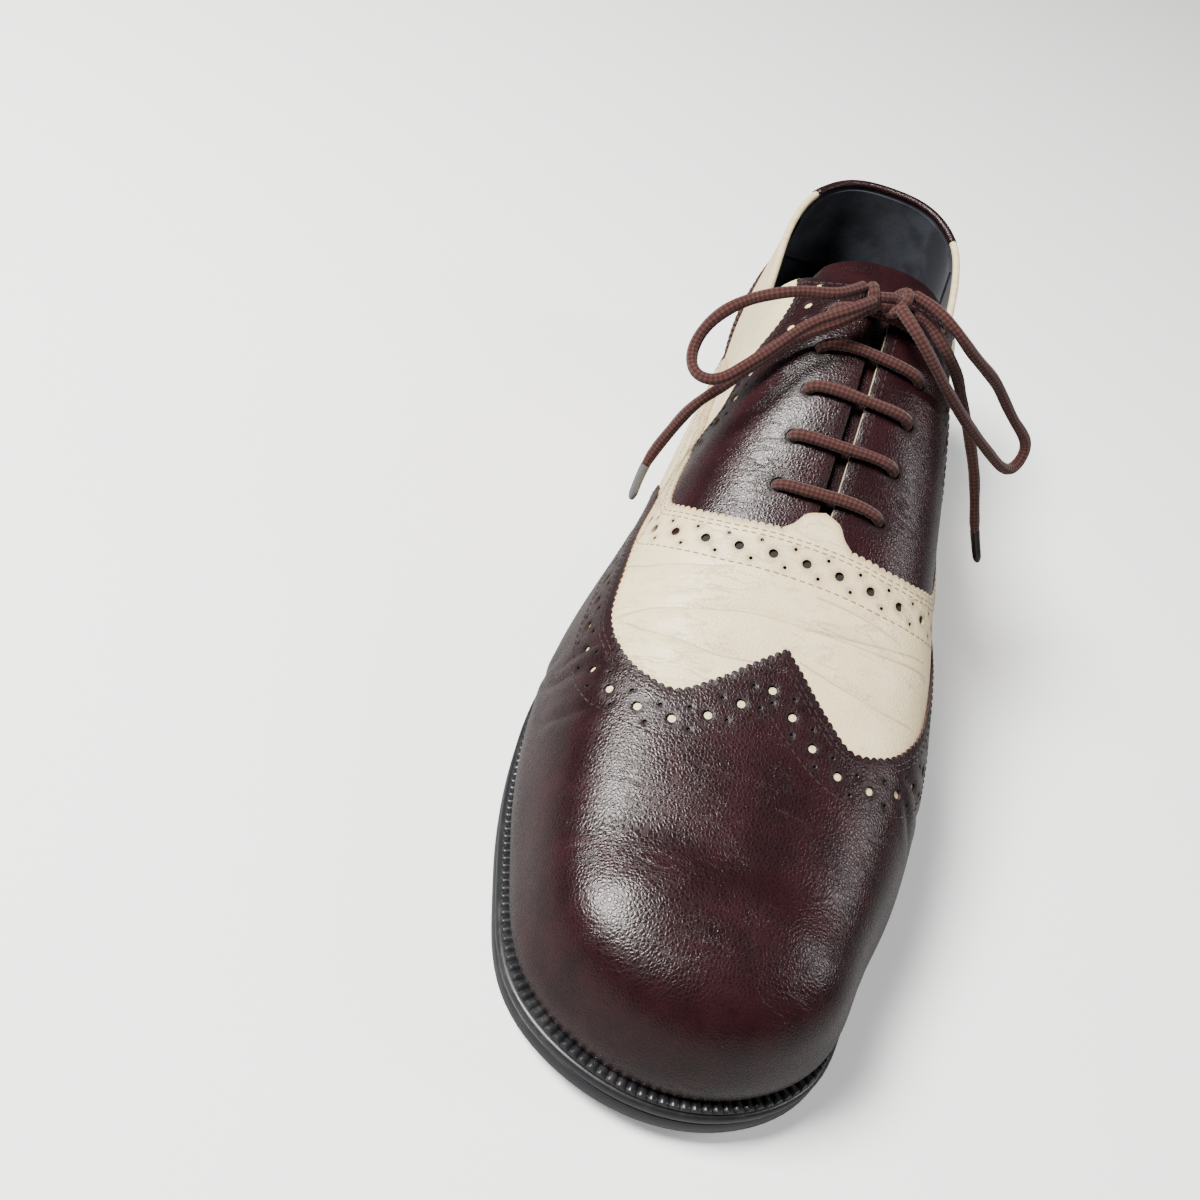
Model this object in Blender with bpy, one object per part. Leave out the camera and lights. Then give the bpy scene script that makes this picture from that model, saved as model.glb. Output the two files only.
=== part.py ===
"""Spectator shoe, a two-tone full brogue oxford: the right shoe of a pair, empty, standing on its sole.

Frame: metres, +Z up, the toe towards -Y, the heel towards +Y, the outer (lateral) side towards -X.
The floor is z = 0 and the length runs from y = LENGTH / 2 at the heel to -LENGTH / 2 at the toe.
"""
from math import cos, hypot, pi, radians, sin

import bmesh
import bpy
import numpy as np
from mathutils import Matrix, Vector
from mathutils.geometry import delaunay_2d_cdt

# Main sizes
LENGTH = 0.304            # outsole, heel to toe
BALL_WIDTH = 0.101        # upper across the ball
INSTEP_HEIGHT = 0.117     # floor to the top of the last over the waist
BACK_HEIGHT = 0.097       # floor to the top of the collar at the heel
HEEL_LIFT = 0.0225        # how far the outsole is raised at the heel
TOE_SPRING = 0.0052       # how far it is raised at the toe
# Walls and layers
WALL = 0.0018             # quarters with their lining
VAMP = 0.0010             # vamp leather over the quarters
FACING = 0.0009           # lace facings
CAP = 0.0017              # wing cap
COUNTER = 0.0013          # heel counter
TONGUE = 0.0018
INSOLE = 0.0030
OUTSOLE = 0.0050
WELT = 0.0030
WELT_REACH = 0.0064       # how far the welt stands out at the ball
TOP_LIFT = 0.0060         # rubber piece under the heel stack
HEEL_SLANT = 0.0030       # how far the breast of the heel leans forward at the top
HEEL_TAPER = 0.0015       # how much the heel narrows to the floor
RIB_PITCH = 0.0056
RIB_HEIGHT = 0.0016
RIB_WIDTH = 0.0026
# Throat and lacing
SLIT = 0.0034
EYELETS = 5
EYELET_PITCH = 0.0110     # along the foot
EYELET_REACH = 0.0131     # from the slit's middle, over the instep
EYELET = 0.0042
LACE = 0.0030
GAP = 0.0003

# The last: one row for each section, from the back of the heel round the outer side to the toe.
# at, turn: place of the spine (share of LENGTH) and turn in plan (degrees) of the section
# across, outer, inner: shift of the spine and reaches to both sides (shares of BALL_WIDTH)
# heel, toe: shares of HEEL_LIFT and TOE_SPRING under the spine point; top: share of INSTEP_HEIGHT
# foot, low, mid, high, near: share of the reach at the heights named in LEVELS
# edge: share of WELT_REACH
LAST = [
    # at   turn  across outer inner  heel   toe   top   foot low  mid  high near edge
    (.105, -90, .000, .297, .297, 1.00, .00, 1.060, .93, 1.0, .96, .84, .50, .60),
    (.105, -60, .000, .312, .312, 1.00, .00, 1.060, .93, 1.0, .95, .83, .50, .60),
    (.105, -30, .000, .322, .322, 1.00, .00, 1.060, .93, 1.0, .93, .80, .50, .60),
    (.105,   0, .000, .332, .327, 1.00, .00, 1.060, .93, 1.0, .92, .78, .50, .60),
    (.200,   0, .000, .342, .330, 0.95, .00, 1.060, .93, 1.0, .91, .76, .48, .60),
    (.320,   0, .000, .362, .335, 0.74, .00, 1.038, .92, 1.0, .90, .74, .45, .64),
    (.420,   0, .000, .385, .360, 0.48, .00, 1.000, .89, 1.0, .90, .73, .43, .72),
    (.500,   0, .004, .415, .405, 0.24, .00, 0.906, .90, 1.0, .90, .73, .43, .82),
    (.580,   0, .010, .470, .445, 0.06, .00, 0.760, .93, 1.0, .92, .75, .45, .93),
    (.660,   0, .018, .510, .475, 0.00, .00, 0.640, .94, 1.0, .94, .78, .47, 1.0),
    (.740,   0, .024, .505, .470, 0.00, .00, 0.540, .94, 1.0, .95, .81, .50, 1.0),
    (.810,   0, .034, .475, .425, 0.00, .26, 0.478, .94, 1.0, .96, .83, .52, 1.0),
    (.862,   0, .044, .440, .372, 0.00, .55, 0.438, .94, 1.0, .96, .84, .52, 1.0),
    (.862,  30, .044, .410, .372, 0.00, .55, 0.438, .94, 1.0, .96, .82, .44, 1.0),
    (.862,  60, .044, .380, .366, 0.00, .55, 0.438, .94, 1.0, .96, .79, .34, 1.0),
    (.862,  90, .044, .366, .366, 0.00, .55, 0.438, .94, 1.0, .96, .77, .29, 1.0),
]
LEVELS = (0, .20, .47, .78, .955, 1)        # foot, low, mid, high, near, top

# Pattern lines on one side of the last, as (station, up): station counts the rows of LAST from the
# heel, up is the share of the way from the foot to the ridge.  Both sides are alike.
WING_EDGE = [(5.70, .00), (6.00, .12), (6.35, .26), (7.00, .37), (8.00, .49), (8.70, .56),
             (9.30, .60), (9.70, .665), (10.0, .75), (10.13, .825), (9.93, .893), (9.65, .955), (9.44, 1.0)]
VAMP_EDGE = [(4.20, .00), (4.20, .10), (4.33, .20), (4.60, .30), (4.95, .375), (5.40, .42), (6.00, .445),
             (7.00, .50), (7.60, .545), (8.00, .60), (8.20, .68), (8.32, .76), (8.37, .85), (8.37, .925),
             (8.30, .945), (8.18, .965), (8.12, 1.0)]
FACING_EDGE = [(5.00, .70), (5.45, .69), (5.77, .705), (6.06, .68), (6.33, .61), (6.60, .585), (6.82, .56),
               (6.80, .50), (6.55, .44)]
COUNTER_EDGE = [(3.75, .00), (3.45, .14), (3.20, .245), (2.75, .315), (1.95, .39), (1.78, .45), (2.05, .56),
                (2.10, .64)]
# Top of the shoe seen from the side: share of LENGTH, shares of BACK_HEIGHT and INSTEP_HEIGHT
TOPLINE = [(-.05, 1.02, 0), (.008, 1.0, 0), (.065, .955, 0), (.145, .895, 0), (.225, .872, 0),
           (.285, .900, 0), (.330, .000, .820), (.350, .000, .875), (.372, .000, .945), (.394, .000, 1.0),
           (.410, .000, 1.10)]
THROAT = .598              # end of the slit, share of LENGTH
TONGUE_AT = (.350, .630)   # ends of the tongue
TONGUE_REACH = 0.0265      # from its middle to its side, over the instep
FIRST_EYELET = .5785       # the pair nearest the toe
HEEL_BREAST = .247         # front of the heel, share of LENGTH

for thing in list(bpy.data.objects):
    bpy.data.objects.remove(thing, do_unlink=True)
for block in list(bpy.data.collections):
    bpy.data.collections.remove(block)

scene = bpy.context.scene
parts = bpy.data.collections.new("spectator_shoe")
cutters = bpy.data.collections.new("cutters")
scene.collection.children.link(parts)
scene.collection.children.link(cutters)


def material(name, colour, roughness, metallic=0.0):
    mat = bpy.data.materials.new(name)
    mat.use_nodes = True
    shader = mat.node_tree.nodes["Principled BSDF"]
    shader.inputs["Base Color"].default_value = (*colour, 1)
    shader.inputs["Roughness"].default_value = roughness
    shader.inputs["Metallic"].default_value = metallic
    return mat


# Smooth curves through rows of numbers
def spline(knots, values, at, start=None, end=None, period=None):
    """C2 cubic through values (rows) at knots, read at the places in at."""
    t = np.asarray(knots, float)
    v = np.asarray(values, float)
    flat = v.reshape(len(v), -1)
    n = len(flat)
    at = np.asarray(at, float)
    rows = np.zeros((n, n))
    right = np.zeros_like(flat)
    if period is not None:
        t = np.append(t, t[0] + period)
        at = t[0] + np.mod(at - t[0], period)
    h = np.diff(t)
    inside = range(n) if period is not None else range(1, n - 1)
    for i in inside:
        before, after = (i - 1) % n, (i + 1) % n
        hm, hp = h[i - 1], h[i]
        rows[i, before] += hm
        rows[i, i] += 2 * (hm + hp)
        rows[i, after] += hp
        right[i] = 6 * ((flat[after] - flat[i]) / hp - (flat[i] - flat[before]) / hm)
    if period is None:
        rows[0, 0] = rows[-1, -1] = 1
        if start is not None:
            rows[0, :2] = 2 * h[0], h[0]
            right[0] = 6 * ((flat[1] - flat[0]) / h[0] - start)
        if end is not None:
            rows[-1, -2:] = h[-1], 2 * h[-1]
            right[-1] = 6 * (end - (flat[-1] - flat[-2]) / h[-1])
    bend = np.linalg.solve(rows, right)
    k = np.clip(np.searchsorted(t, at, side="right") - 1, 0, len(h) - 1)
    a, b = k % n, (k + 1) % n
    step = h[k][:, None]
    s = ((at - t[k]) / h[k])[:, None]
    out = flat[a] * (1 - s) + flat[b] * s
    out += ((1 - s) ** 3 - (1 - s)) * bend[a] * step ** 2 / 6
    out += (s ** 3 - s) * bend[b] * step ** 2 / 6
    return out.reshape((len(at),) + v.shape[1:])


def steady(knots, values, at):
    """Cubic through values at knots that never swings past them (for one column or more)."""
    t = np.asarray(knots, float)
    v = np.asarray(values, float)
    h = np.diff(t)[:, None]
    d = np.diff(v, axis=0) / h
    slope = np.zeros_like(v)
    wa = 2 * h[1:] + h[:-1]
    wb = h[1:] + 2 * h[:-1]
    same = d[:-1] * d[1:] > 0
    safe_a = np.where(same, d[:-1], 1)
    safe_b = np.where(same, d[1:], 1)
    slope[1:-1] = np.where(same, (wa + wb) / (wa / safe_a + wb / safe_b), 0)
    slope[0], slope[-1] = d[0], d[-1]
    k = np.clip(np.searchsorted(t, at, side="right") - 1, 0, len(h) - 1)
    s = ((np.asarray(at) - t[k]) / h[k, 0])[:, None]
    step = h[k]
    return (v[k] * (1 + 2 * s) * (1 - s) ** 2 + v[k + 1] * s * s * (3 - 2 * s)
            + slope[k] * step * s * (1 - s) ** 2 - slope[k + 1] * step * s * s * (1 - s))


# The last as a function: station round the foot and share of the way up
ROWS = len(LAST)
ROUND = 2 * (ROWS - 1)


RISES = [(row[0], row[5], row[6]) for row in LAST[3:13]] + [(.925, 0, .85), (.980, 0, 1.15)]
RISES = [(0, 1, 0)] + RISES


def foot_height(y):
    """Floor to the foot of the upper at y; the sole is flat on the floor at the ball."""
    at = .5 - np.asarray(y, float) / LENGTH
    lifts = [(heel * HEEL_LIFT + toe * TOE_SPRING,) for _, heel, toe in RISES]
    rise = steady([r[0] for r in RISES], lifts, np.clip(at, 0, .98).reshape(-1))[:, 0]
    past = np.maximum(at.reshape(-1) - .98, 0) * LENGTH
    return (rise + past * TOE_SPRING / LENGTH * 5).reshape(at.shape) + OUTSOLE + WELT + 2 * GAP


def ridge_slope(row, ahead):
    """Rise of the ridge past the last spine point, along the foot."""
    a, b = LAST[row], LAST[row + ahead]
    return (a[7] - b[7]) * INSTEP_HEIGHT / (abs(a[0] - b[0]) * LENGTH)


def section(row, side):
    """Points of one section, foot to ridge, and its end tangent."""
    at, turn, across, outer, inner, heel, toe, top, *rest = LAST[row]
    shares = rest[:5] + [0]
    reach = (outer if side < 0 else inner) * BALL_WIDTH
    bend = radians(turn)
    ahead = np.array([side * cos(bend), -sin(bend)])
    spine = np.array([across * BALL_WIDTH, (.5 - at) * LENGTH])
    low = float(foot_height(spine[1] + ahead[1] * reach * shares[0]))
    points = []
    for level, share in zip(LEVELS, shares):
        x, y = spine + ahead * reach * share
        points.append((x, y, low + (top * INSTEP_HEIGHT - low) * level))
    drop = 0
    if turn > 0:
        drop = ridge_slope(12, -1) * .55 * sin(bend)
    travel = reach * shares[4] * (len(LEVELS) - 1) * 1.15
    end = np.array([-ahead[0], -ahead[1], -drop]) * travel
    return np.array(points), end


def last_rows():
    order = [(-1, r) for r in range(ROWS)] + [(1, r) for r in range(ROWS - 2, 0, -1)]
    return [section(r, side) for side, r in order]


SECTIONS = last_rows()
KNOTS_UP = np.linspace(0, 1, len(LEVELS))


def last_knots():
    """Distance round the low line between stations, the mean of both sides, as shares of the way."""
    low = np.array([points[2] for points, _ in SECTIONS])
    steps = np.linalg.norm(np.roll(low, -1, 0) - low, axis=1)
    steps = (steps + steps[::-1]) / 2
    return np.concatenate([[0], np.cumsum(steps)]) / steps.sum()


KNOTS_ROUND = last_knots()


def last(stations, ups):
    """Grid of points of the last: len(stations) by len(ups) by 3."""
    ups = np.asarray(ups, float)
    profiles = np.array([spline(KNOTS_UP, points, ups, end=end) for points, end in SECTIONS])
    places = np.interp(np.asarray(stations, float), range(ROUND + 1), KNOTS_ROUND)
    smooth = spline(KNOTS_ROUND[:-1], profiles, places, period=1)
    closed = np.concatenate([profiles[-3:], profiles, profiles[:4]])
    knots = np.concatenate([KNOTS_ROUND[-4:-1] - 1, KNOTS_ROUND[:-1], KNOTS_ROUND[:4] + 1])
    level = steady(knots, closed.reshape(len(closed), -1), places).reshape(smooth.shape)
    share = np.clip((ups - .7) / .3, 0, 1)
    share = (share * share * (3 - 2 * share))[None, :, None]
    return smooth * (1 - share) + level * share


# Grid of the faceted solids
STEPS = [3] * 6 + [2] * 6 + [3] * 3        # columns between the rows of LAST, heel to toe
HALF_STATIONS = np.concatenate([i + np.arange(n) / n for i, n in enumerate(STEPS)])
STATIONS = np.concatenate([HALF_STATIONS, [ROWS - 1], ROUND - HALF_STATIONS[:0:-1]])
HEEL_FAN = sum(STEPS[:3])                  # column of the first straight section, and of the last
TOE_FAN = sum(STEPS[:12])
UPS = np.array([0, .16, .33, .50, .655, .79, .90, 1])
GRID = last(STATIONS, UPS)
GRID[:, 0, 2] = foot_height(GRID[:, 0, 1])


def mesh_object(name, verts, faces, look, home=parts, smooth=35):
    mesh = bpy.data.meshes.new(name)
    mesh.from_pydata([tuple(v) for v in verts], [], faces)
    bm = bmesh.new()
    bm.from_mesh(mesh)
    bmesh.ops.recalc_face_normals(bm, faces=bm.faces)
    bm.to_mesh(mesh)
    bm.free()
    mesh.shade_smooth()
    mesh.set_sharp_from_angle(angle=radians(smooth))
    obj = bpy.data.objects.new(name, mesh)
    home.objects.link(obj)
    if look is not None:
        mesh.materials.append(look)
    return obj


def sheet():
    """The last's grid as one sheet closed along the ridge: points, faces and normals."""
    count = len(STATIONS)
    top = len(UPS) - 1

    def key(i, j):
        i %= count
        if j < top:
            return i, j
        i = min(i, count - i)
        return min(max(i, HEEL_FAN), TOE_FAN), top

    number = {}
    points = []
    faces = []
    for i in range(count):
        for j in range(top):
            ring = []
            for k in (key(i, j), key(i, j + 1), key(i + 1, j + 1), key(i + 1, j)):
                if k not in number:
                    number[k] = len(points)
                    points.append(GRID[k])
                if number[k] not in ring:
                    ring.append(number[k])
            if len(ring) == 4:
                a, b, c, d = ring
                if np.linalg.norm(points[a] - points[c]) < np.linalg.norm(points[b] - points[d]):
                    faces += [[a, b, c], [a, c, d]]
                else:
                    faces += [[a, b, d], [b, c, d]]
            else:
                faces.append(ring)
    points = np.array(points)
    normals = np.zeros_like(points)
    for ring in faces:
        corner = points[ring]
        face = sum(np.cross(corner[a] - corner[0], corner[a + 1] - corner[0]) for a in range(1, len(ring) - 1))
        for v in ring:
            normals[v] += face / (np.linalg.norm(face) + 1e-12)
    for i in range(count):
        normals[number[(i, 0)]][2] = 0
    normals /= np.linalg.norm(normals, axis=1)[:, None]
    if (normals * (points - points.mean(0))).sum() < 0:
        normals = -normals
    foot = [number[(i, 0)] for i in range(count)]
    return points, faces, normals, foot


SHEET = sheet()


def shell(inner, outer):
    """Points and faces of the closed wall between two offsets of the last."""
    points, faces, normals, foot = SHEET
    n = len(points)
    verts = np.vstack([points + normals * inner, points + normals * outer])
    rings = [list(f) for f in faces] + [[v + n for v in reversed(f)] for f in faces]
    for a, b in zip(foot, foot[1:] + foot[:1]):
        rings.append([a, b, b + n, a + n])
    return verts, rings


FINE = 12                 # stations of the fine grid that cutters are read from
FINE_UPS = np.linspace(0, 1, 81)
FINE_GRID = last(np.arange(ROUND * FINE) / FINE, FINE_UPS)


def fine_normals():
    along = np.roll(FINE_GRID, -1, 0) - np.roll(FINE_GRID, 1, 0)
    up = np.gradient(FINE_GRID, axis=1)
    normals = np.cross(up, along)
    size = np.linalg.norm(normals, axis=2)
    normals[size < 1e-9] = (0, 0, 1)
    normals[:, -1] = normals[:, -2]
    normals /= np.linalg.norm(normals, axis=2)[..., None]
    return normals if (normals * (FINE_GRID - FINE_GRID.mean((0, 1)))).sum() > 0 else -normals


FINE_NORMALS = fine_normals()


def spots_at(stations, ups):
    """Points and outward normals of the last at pairs of station and share up."""
    s = np.mod(np.asarray(stations, float), ROUND) * FINE
    u = np.clip(np.asarray(ups, float), 0, 1) * (len(FINE_UPS) - 1)
    i = np.floor(s).astype(int)
    j = np.minimum(np.floor(u).astype(int), len(FINE_UPS) - 2)
    fs, fu = (s - i)[:, None], (u - j)[:, None]
    i, after = i % (ROUND * FINE), (i + 1) % (ROUND * FINE)
    read = []
    for grid in (FINE_GRID, FINE_NORMALS):
        low = grid[i, j] * (1 - fs) + grid[after, j] * fs
        high = grid[i, j + 1] * (1 - fs) + grid[after, j + 1] * fs
        read.append(low * (1 - fu) + high * fu)
    read[1] /= np.linalg.norm(read[1], axis=1)[:, None]
    return read


def smooth_line(table, per=2):
    """The table's points joined by a soft line in (station, up)."""
    rows = np.array(table, float)
    scale = np.array([.085, .10]) * 10
    steps = np.linalg.norm(np.diff(rows * scale, axis=0), axis=1)
    knots = np.concatenate([[0], np.cumsum(steps)])
    places = np.concatenate([np.linspace(a, b, per, endpoint=False) for a, b in zip(knots[:-1], knots[1:])])
    return steady(knots, rows, np.append(places, knots[-1]))


def patch_cutter(name, outline, low, high):
    """Thick patch over a closed outline in (station, up), both sides of the foot, between two offsets.

    The outline covers one side; where it touches the ridge both sides are one piece."""
    outline = [(float(s), float(u)) for s, u in outline]
    inside = [(s, u) for s in np.arange(0, 15.01, .5) for u in np.linspace(0, 1, 11)]
    ring = [Vector(p) for p in outline]
    verts = ring + [Vector(p) for p in inside]
    edges = [(k, (k + 1) % len(ring)) for k in range(len(ring))]
    pts, _, tris, _, _, _ = delaunay_2d_cdt(verts, edges, [], 1, 1e-6)
    pts = np.array([tuple(p) for p in pts])
    keys = {}
    coords = []
    faces = []
    for side in (1, -1):
        stations = pts[:, 0] if side > 0 else ROUND - pts[:, 0]
        ups = np.clip(pts[:, 1], 0, 1)
        spots, norms = spots_at(stations, ups)
        on_ridge = pts[:, 1] > .9999
        norms[on_ridge] = [0, 0, 1]
        at_foot = pts[:, 1] < .0001
        norms[at_foot, 2] = 0
        norms /= np.linalg.norm(norms, axis=1)[:, None]
        for tri in tris:
            face = []
            for v in tri:
                spot = spots[v].copy()
                tag = (round(spot[0], 5), round(spot[1], 5), round(spot[2], 5))
                if not (on_ridge[v] or abs(pts[v, 0]) < 1e-6 or abs(pts[v, 0] - 15) < 1e-6):
                    tag = tag + (side,)
                if tag not in keys:
                    keys[tag] = len(coords)
                    drop = -.004 if at_foot[v] else 0
                    coords.append((spot + [0, 0, drop], norms[v]))
                if keys[tag] not in face:
                    face.append(keys[tag])
            if len(face) == 3:
                faces.append(face if side > 0 else face[::-1])
    n = len(coords)
    spots = np.array([c[0] for c in coords])
    norms = np.array([c[1] for c in coords])
    verts = np.vstack([spots + norms * low, spots + norms * high])
    rings = [list(f) for f in faces] + [[v + n for v in reversed(f)] for f in faces]
    count = {}
    for f in faces:
        for a, b in zip(f, f[1:] + f[:1]):
            key = (min(a, b), max(a, b))
            count.setdefault(key, []).append((a, b))
    for pairs in count.values():
        if len(pairs) == 1:
            a, b = pairs[0]
            rings.append([b, a, a + n, b + n])
    obj = mesh_object(name, verts, rings, None, cutters)
    obj.hide_render = True
    obj.display_type = "WIRE"
    return obj


def prism(name, outline, depth, axis="X", home=cutters, look=None):
    """Closed prism from an outline: (y, z) pushed out along X, or (x, y) up along Z."""
    a, b = depth
    if axis == "X":
        verts = [(a, p, q) for p, q in outline] + [(b, p, q) for p, q in outline]
    else:
        verts = [(p, q, a) for p, q in outline] + [(p, q, b) for p, q in outline]
    n = len(outline)
    faces = [list(range(n)), list(range(2 * n - 1, n - 1, -1))]
    faces += [[k, k + n, (k + 1) % n + n, (k + 1) % n] for k in range(n)]
    obj = mesh_object(name, verts, faces, look, home)
    if home is cutters:
        obj.hide_render = True
        obj.display_type = "WIRE"
    return obj


def cut(obj, cutter, operation="DIFFERENCE"):
    step = obj.modifiers.new(cutter.name, "BOOLEAN")
    step.operation = operation
    step.object = cutter
    step.solver = "EXACT"
    return step


def islands(bm):
    """Groups of faces that hang together over edges of two faces."""
    seen = set()
    groups = []
    for first in bm.faces:
        if first in seen:
            continue
        group = [first]
        seen.add(first)
        for face in group:
            for edge in face.edges:
                if len(edge.link_faces) != 2:
                    continue
                for near in edge.link_faces:
                    if near not in seen:
                        seen.add(near)
                        group.append(near)
        groups.append(group)
    return groups


def bake(obj):
    """The evaluated mesh replaces the modifiers, with tiny edges merged and cutting slivers dropped."""
    bpy.context.view_layer.update()
    graph = bpy.context.evaluated_depsgraph_get()
    mesh = bpy.data.meshes.new_from_object(obj.evaluated_get(graph))
    bm = bmesh.new()
    bm.from_mesh(mesh)
    bmesh.ops.remove_doubles(bm, verts=bm.verts, dist=2e-6)
    bmesh.ops.dissolve_degenerate(bm, edges=bm.edges, dist=2e-6)
    for group in islands(bm):
        inside = set(group)
        others = [sum(near not in inside for near in edge.link_faces) for face in group for edge in face.edges]
        if sum(face.calc_area() for face in group) < 2e-6 and set(others) <= {0, 2}:
            bmesh.ops.delete(bm, geom=group, context="FACES")
    bm.to_mesh(mesh)
    bm.free()
    obj.modifiers.clear()
    obj.data = mesh
    mesh.shade_smooth()
    mesh.set_sharp_from_angle(angle=radians(35))
    return obj


# Looks
cream = material("cream leather", (.66, .58, .44), .45)
brown = material("burgundy leather", (.060, .016, .016), .32)
black = material("black rubber", (.012, .012, .014), .55)
lining = material("black lining", (.015, .016, .022), .80)
cotton = material("brown cotton", (.075, .022, .020), .85)

# Cutters: all that lies above the topline, the slit and the eyelets
top_points = steady([r[0] for r in TOPLINE], [(a * BACK_HEIGHT + b * INSTEP_HEIGHT,) for _, a, b in TOPLINE],
                    np.linspace(TOPLINE[0][0], TOPLINE[-1][0], 40))[:, 0]
top_outline = [((.5 - a) * LENGTH, z) for a, z in zip(np.linspace(TOPLINE[0][0], TOPLINE[-1][0], 40), top_points)]
ceiling = INSTEP_HEIGHT * 1.6
top_outline += [(top_outline[-1][0], ceiling), (top_outline[0][0], ceiling)]
above = prism("above_topline", top_outline, (-BALL_WIDTH, BALL_WIDTH))
slit_y = ((.5 - .30) * LENGTH, (.5 - THROAT) * LENGTH)
throat_x = .010 * BALL_WIDTH
slit = prism("slit", [(throat_x - SLIT / 2, slit_y[0]), (throat_x + SLIT / 2, slit_y[0]),
                      (throat_x + SLIT / 2, slit_y[1]), (throat_x - SLIT / 2, slit_y[1])],
             (INSTEP_HEIGHT * .4, ceiling), "Z")


def ridge_station(at):
    """Station where the ridge passes a share of LENGTH."""
    stations = np.linspace(3, 12, 400)
    y = spots_at(stations, np.ones(400))[0][:, 1]
    return float(np.interp(-(.5 - at) * LENGTH, -y, stations))


def over_instep(at, side, reach):
    """Station and share up of the point that lies reach from the ridge, over the surface."""
    s = ridge_station(at)
    s = s if side < 0 else ROUND - s
    ups = np.linspace(1, .3, 150)
    line = spots_at([s] * len(ups), ups)[0]
    way = np.concatenate([[0], np.cumsum(np.linalg.norm(np.diff(line, axis=0), axis=1))])
    return s, float(np.interp(reach, way, ups))


eyelets = []
for pair in range(EYELETS):
    for side in (-1, 1):
        s, u = over_instep(FIRST_EYELET - pair * EYELET_PITCH / LENGTH, side, EYELET_REACH)
        spot, normal = spots_at([s], [u])
        eyelets.append((pair, side, spot[0], normal[0]))
holes = bmesh.new()
for _, _, spot, normal in eyelets:
    pin = bmesh.ops.create_cone(holes, cap_ends=True, segments=8, radius1=EYELET / 2, radius2=EYELET / 2,
                                depth=WALL * 2 + FACING * 4)
    turn = Vector(normal).to_track_quat("Z", "Y")
    for v in pin["verts"]:
        v.co = turn @ v.co + Vector(spot)
hole_mesh = bpy.data.meshes.new("eyelet_holes")
holes.to_mesh(hole_mesh)
holes.free()
eyelet_holes = bpy.data.objects.new("eyelet_holes", hole_mesh)
cutters.objects.link(eyelet_holes)
eyelet_holes.hide_render = True
eyelet_holes.display_type = "WIRE"

# Upper: quarters and vamp lining as one hollow wall, open at the collar, the throat and underneath
upper = mesh_object("upper", *shell(-WALL, 0), cream)
for cutter in (above, slit, eyelet_holes):
    cut(upper, cutter)
bake(upper)

# Overlays, cut from larger forms of the same last
wing_line = smooth_line(WING_EDGE)
vamp_line = smooth_line(VAMP_EDGE)
facing_line = smooth_line(FACING_EDGE)
counter_line = smooth_line(COUNTER_EDGE)
AIR = .004


def widened(line, room):
    """The line moved out to its left by a clearance, still ending on the foot or the ridge where it did."""
    scale = np.array([LENGTH * .08, INSTEP_HEIGHT * .73])
    flat_line = line * scale
    along = np.gradient(flat_line, axis=0)
    out = np.stack([-along[:, 1], along[:, 0]], axis=1)
    out /= np.linalg.norm(out, axis=1)[:, None]
    moved = (flat_line + out * room) / scale
    moved[np.isclose(line[:, 1], 0), 1] = 0
    moved[np.isclose(line[:, 1], 1), 1] = 1
    return moved


wing_patch = patch_cutter("wing_patch", list(wing_line) + [(15, 1), (15, 0)], -AIR, AIR)
wing_cap = mesh_object("wing_cap", *shell(GAP, GAP + CAP), brown)
cut(wing_cap, wing_patch, "INTERSECT")
bake(wing_cap)

ROOM = GAP * 2
wing_room = patch_cutter("wing_room", list(widened(wing_line, ROOM)) + [(15, 1), (15, 0)], -AIR, AIR)
vamp_patch = patch_cutter("vamp_patch", list(vamp_line) + [(15, 1), (15, 0)], -AIR, AIR)
vamp = mesh_object("vamp", *shell(GAP, GAP + VAMP), cream)
cut(vamp, vamp_patch, "INTERSECT")
cut(vamp, wing_room)
bake(vamp)

vamp_room = patch_cutter("vamp_room", list(widened(vamp_line, ROOM)) + [(15, 1), (15, 0)], -AIR, AIR)
facing_patch = patch_cutter("facing_patch", list(facing_line) + [(9, .44), (9, 1), (5.0, 1)], -AIR, AIR)
facing = mesh_object("facing", *shell(GAP, GAP + FACING), brown)
cut(facing, facing_patch, "INTERSECT")
bake(facing)
for cutter in (above, vamp_room, slit, eyelet_holes):
    cut(facing, cutter)
    bake(facing)

counter_patch = patch_cutter("counter_patch", list(counter_line) + [(0, .64), (0, 0)], -AIR, AIR)
counter = mesh_object("heel_counter", *shell(GAP, GAP + COUNTER), brown)
cut(counter, counter_patch, "INTERSECT")
cut(counter, above)
bake(counter)


def split_sides(obj, names):
    """Loose halves of obj become objects of their own, named for the outer and the inner side."""
    bm = bmesh.new()
    bm.from_mesh(obj.data)
    for name, keep in zip(names, (-1, 1)):
        half = bm.copy()
        drop = [v for v in half.verts if (v.co.x - throat_x) * keep < 0]
        bmesh.ops.delete(half, geom=drop, context="VERTS")
        mesh = bpy.data.meshes.new(name)
        half.to_mesh(mesh)
        half.free()
        mesh.shade_smooth()
        mesh.set_sharp_from_angle(angle=radians(35))
        mesh.materials.append(brown)
        side = bpy.data.objects.new(name, mesh)
        parts.objects.link(side)
    bm.free()
    bpy.data.objects.remove(obj, do_unlink=True)


split_sides(facing, ("facing_outer", "facing_inner"))

# Tongue, under the facings
tongue_line = []
for share in np.linspace(0, 1, 13):
    at = TONGUE_AT[0] + (TONGUE_AT[1] - TONGUE_AT[0]) * share
    tongue_line.append(over_instep(at, -1, TONGUE_REACH * (1 - .10 * share ** 2)))
tongue_patch = patch_cutter("tongue_patch", [(tongue_line[0][0], 1)] + tongue_line + [(tongue_line[-1][0], 1)],
                            -.012, AIR)
tongue = mesh_object("tongue", *shell(-WALL - GAP - TONGUE, -WALL - GAP), brown)
cut(tongue, tongue_patch, "INTERSECT")
bake(tongue)


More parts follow.
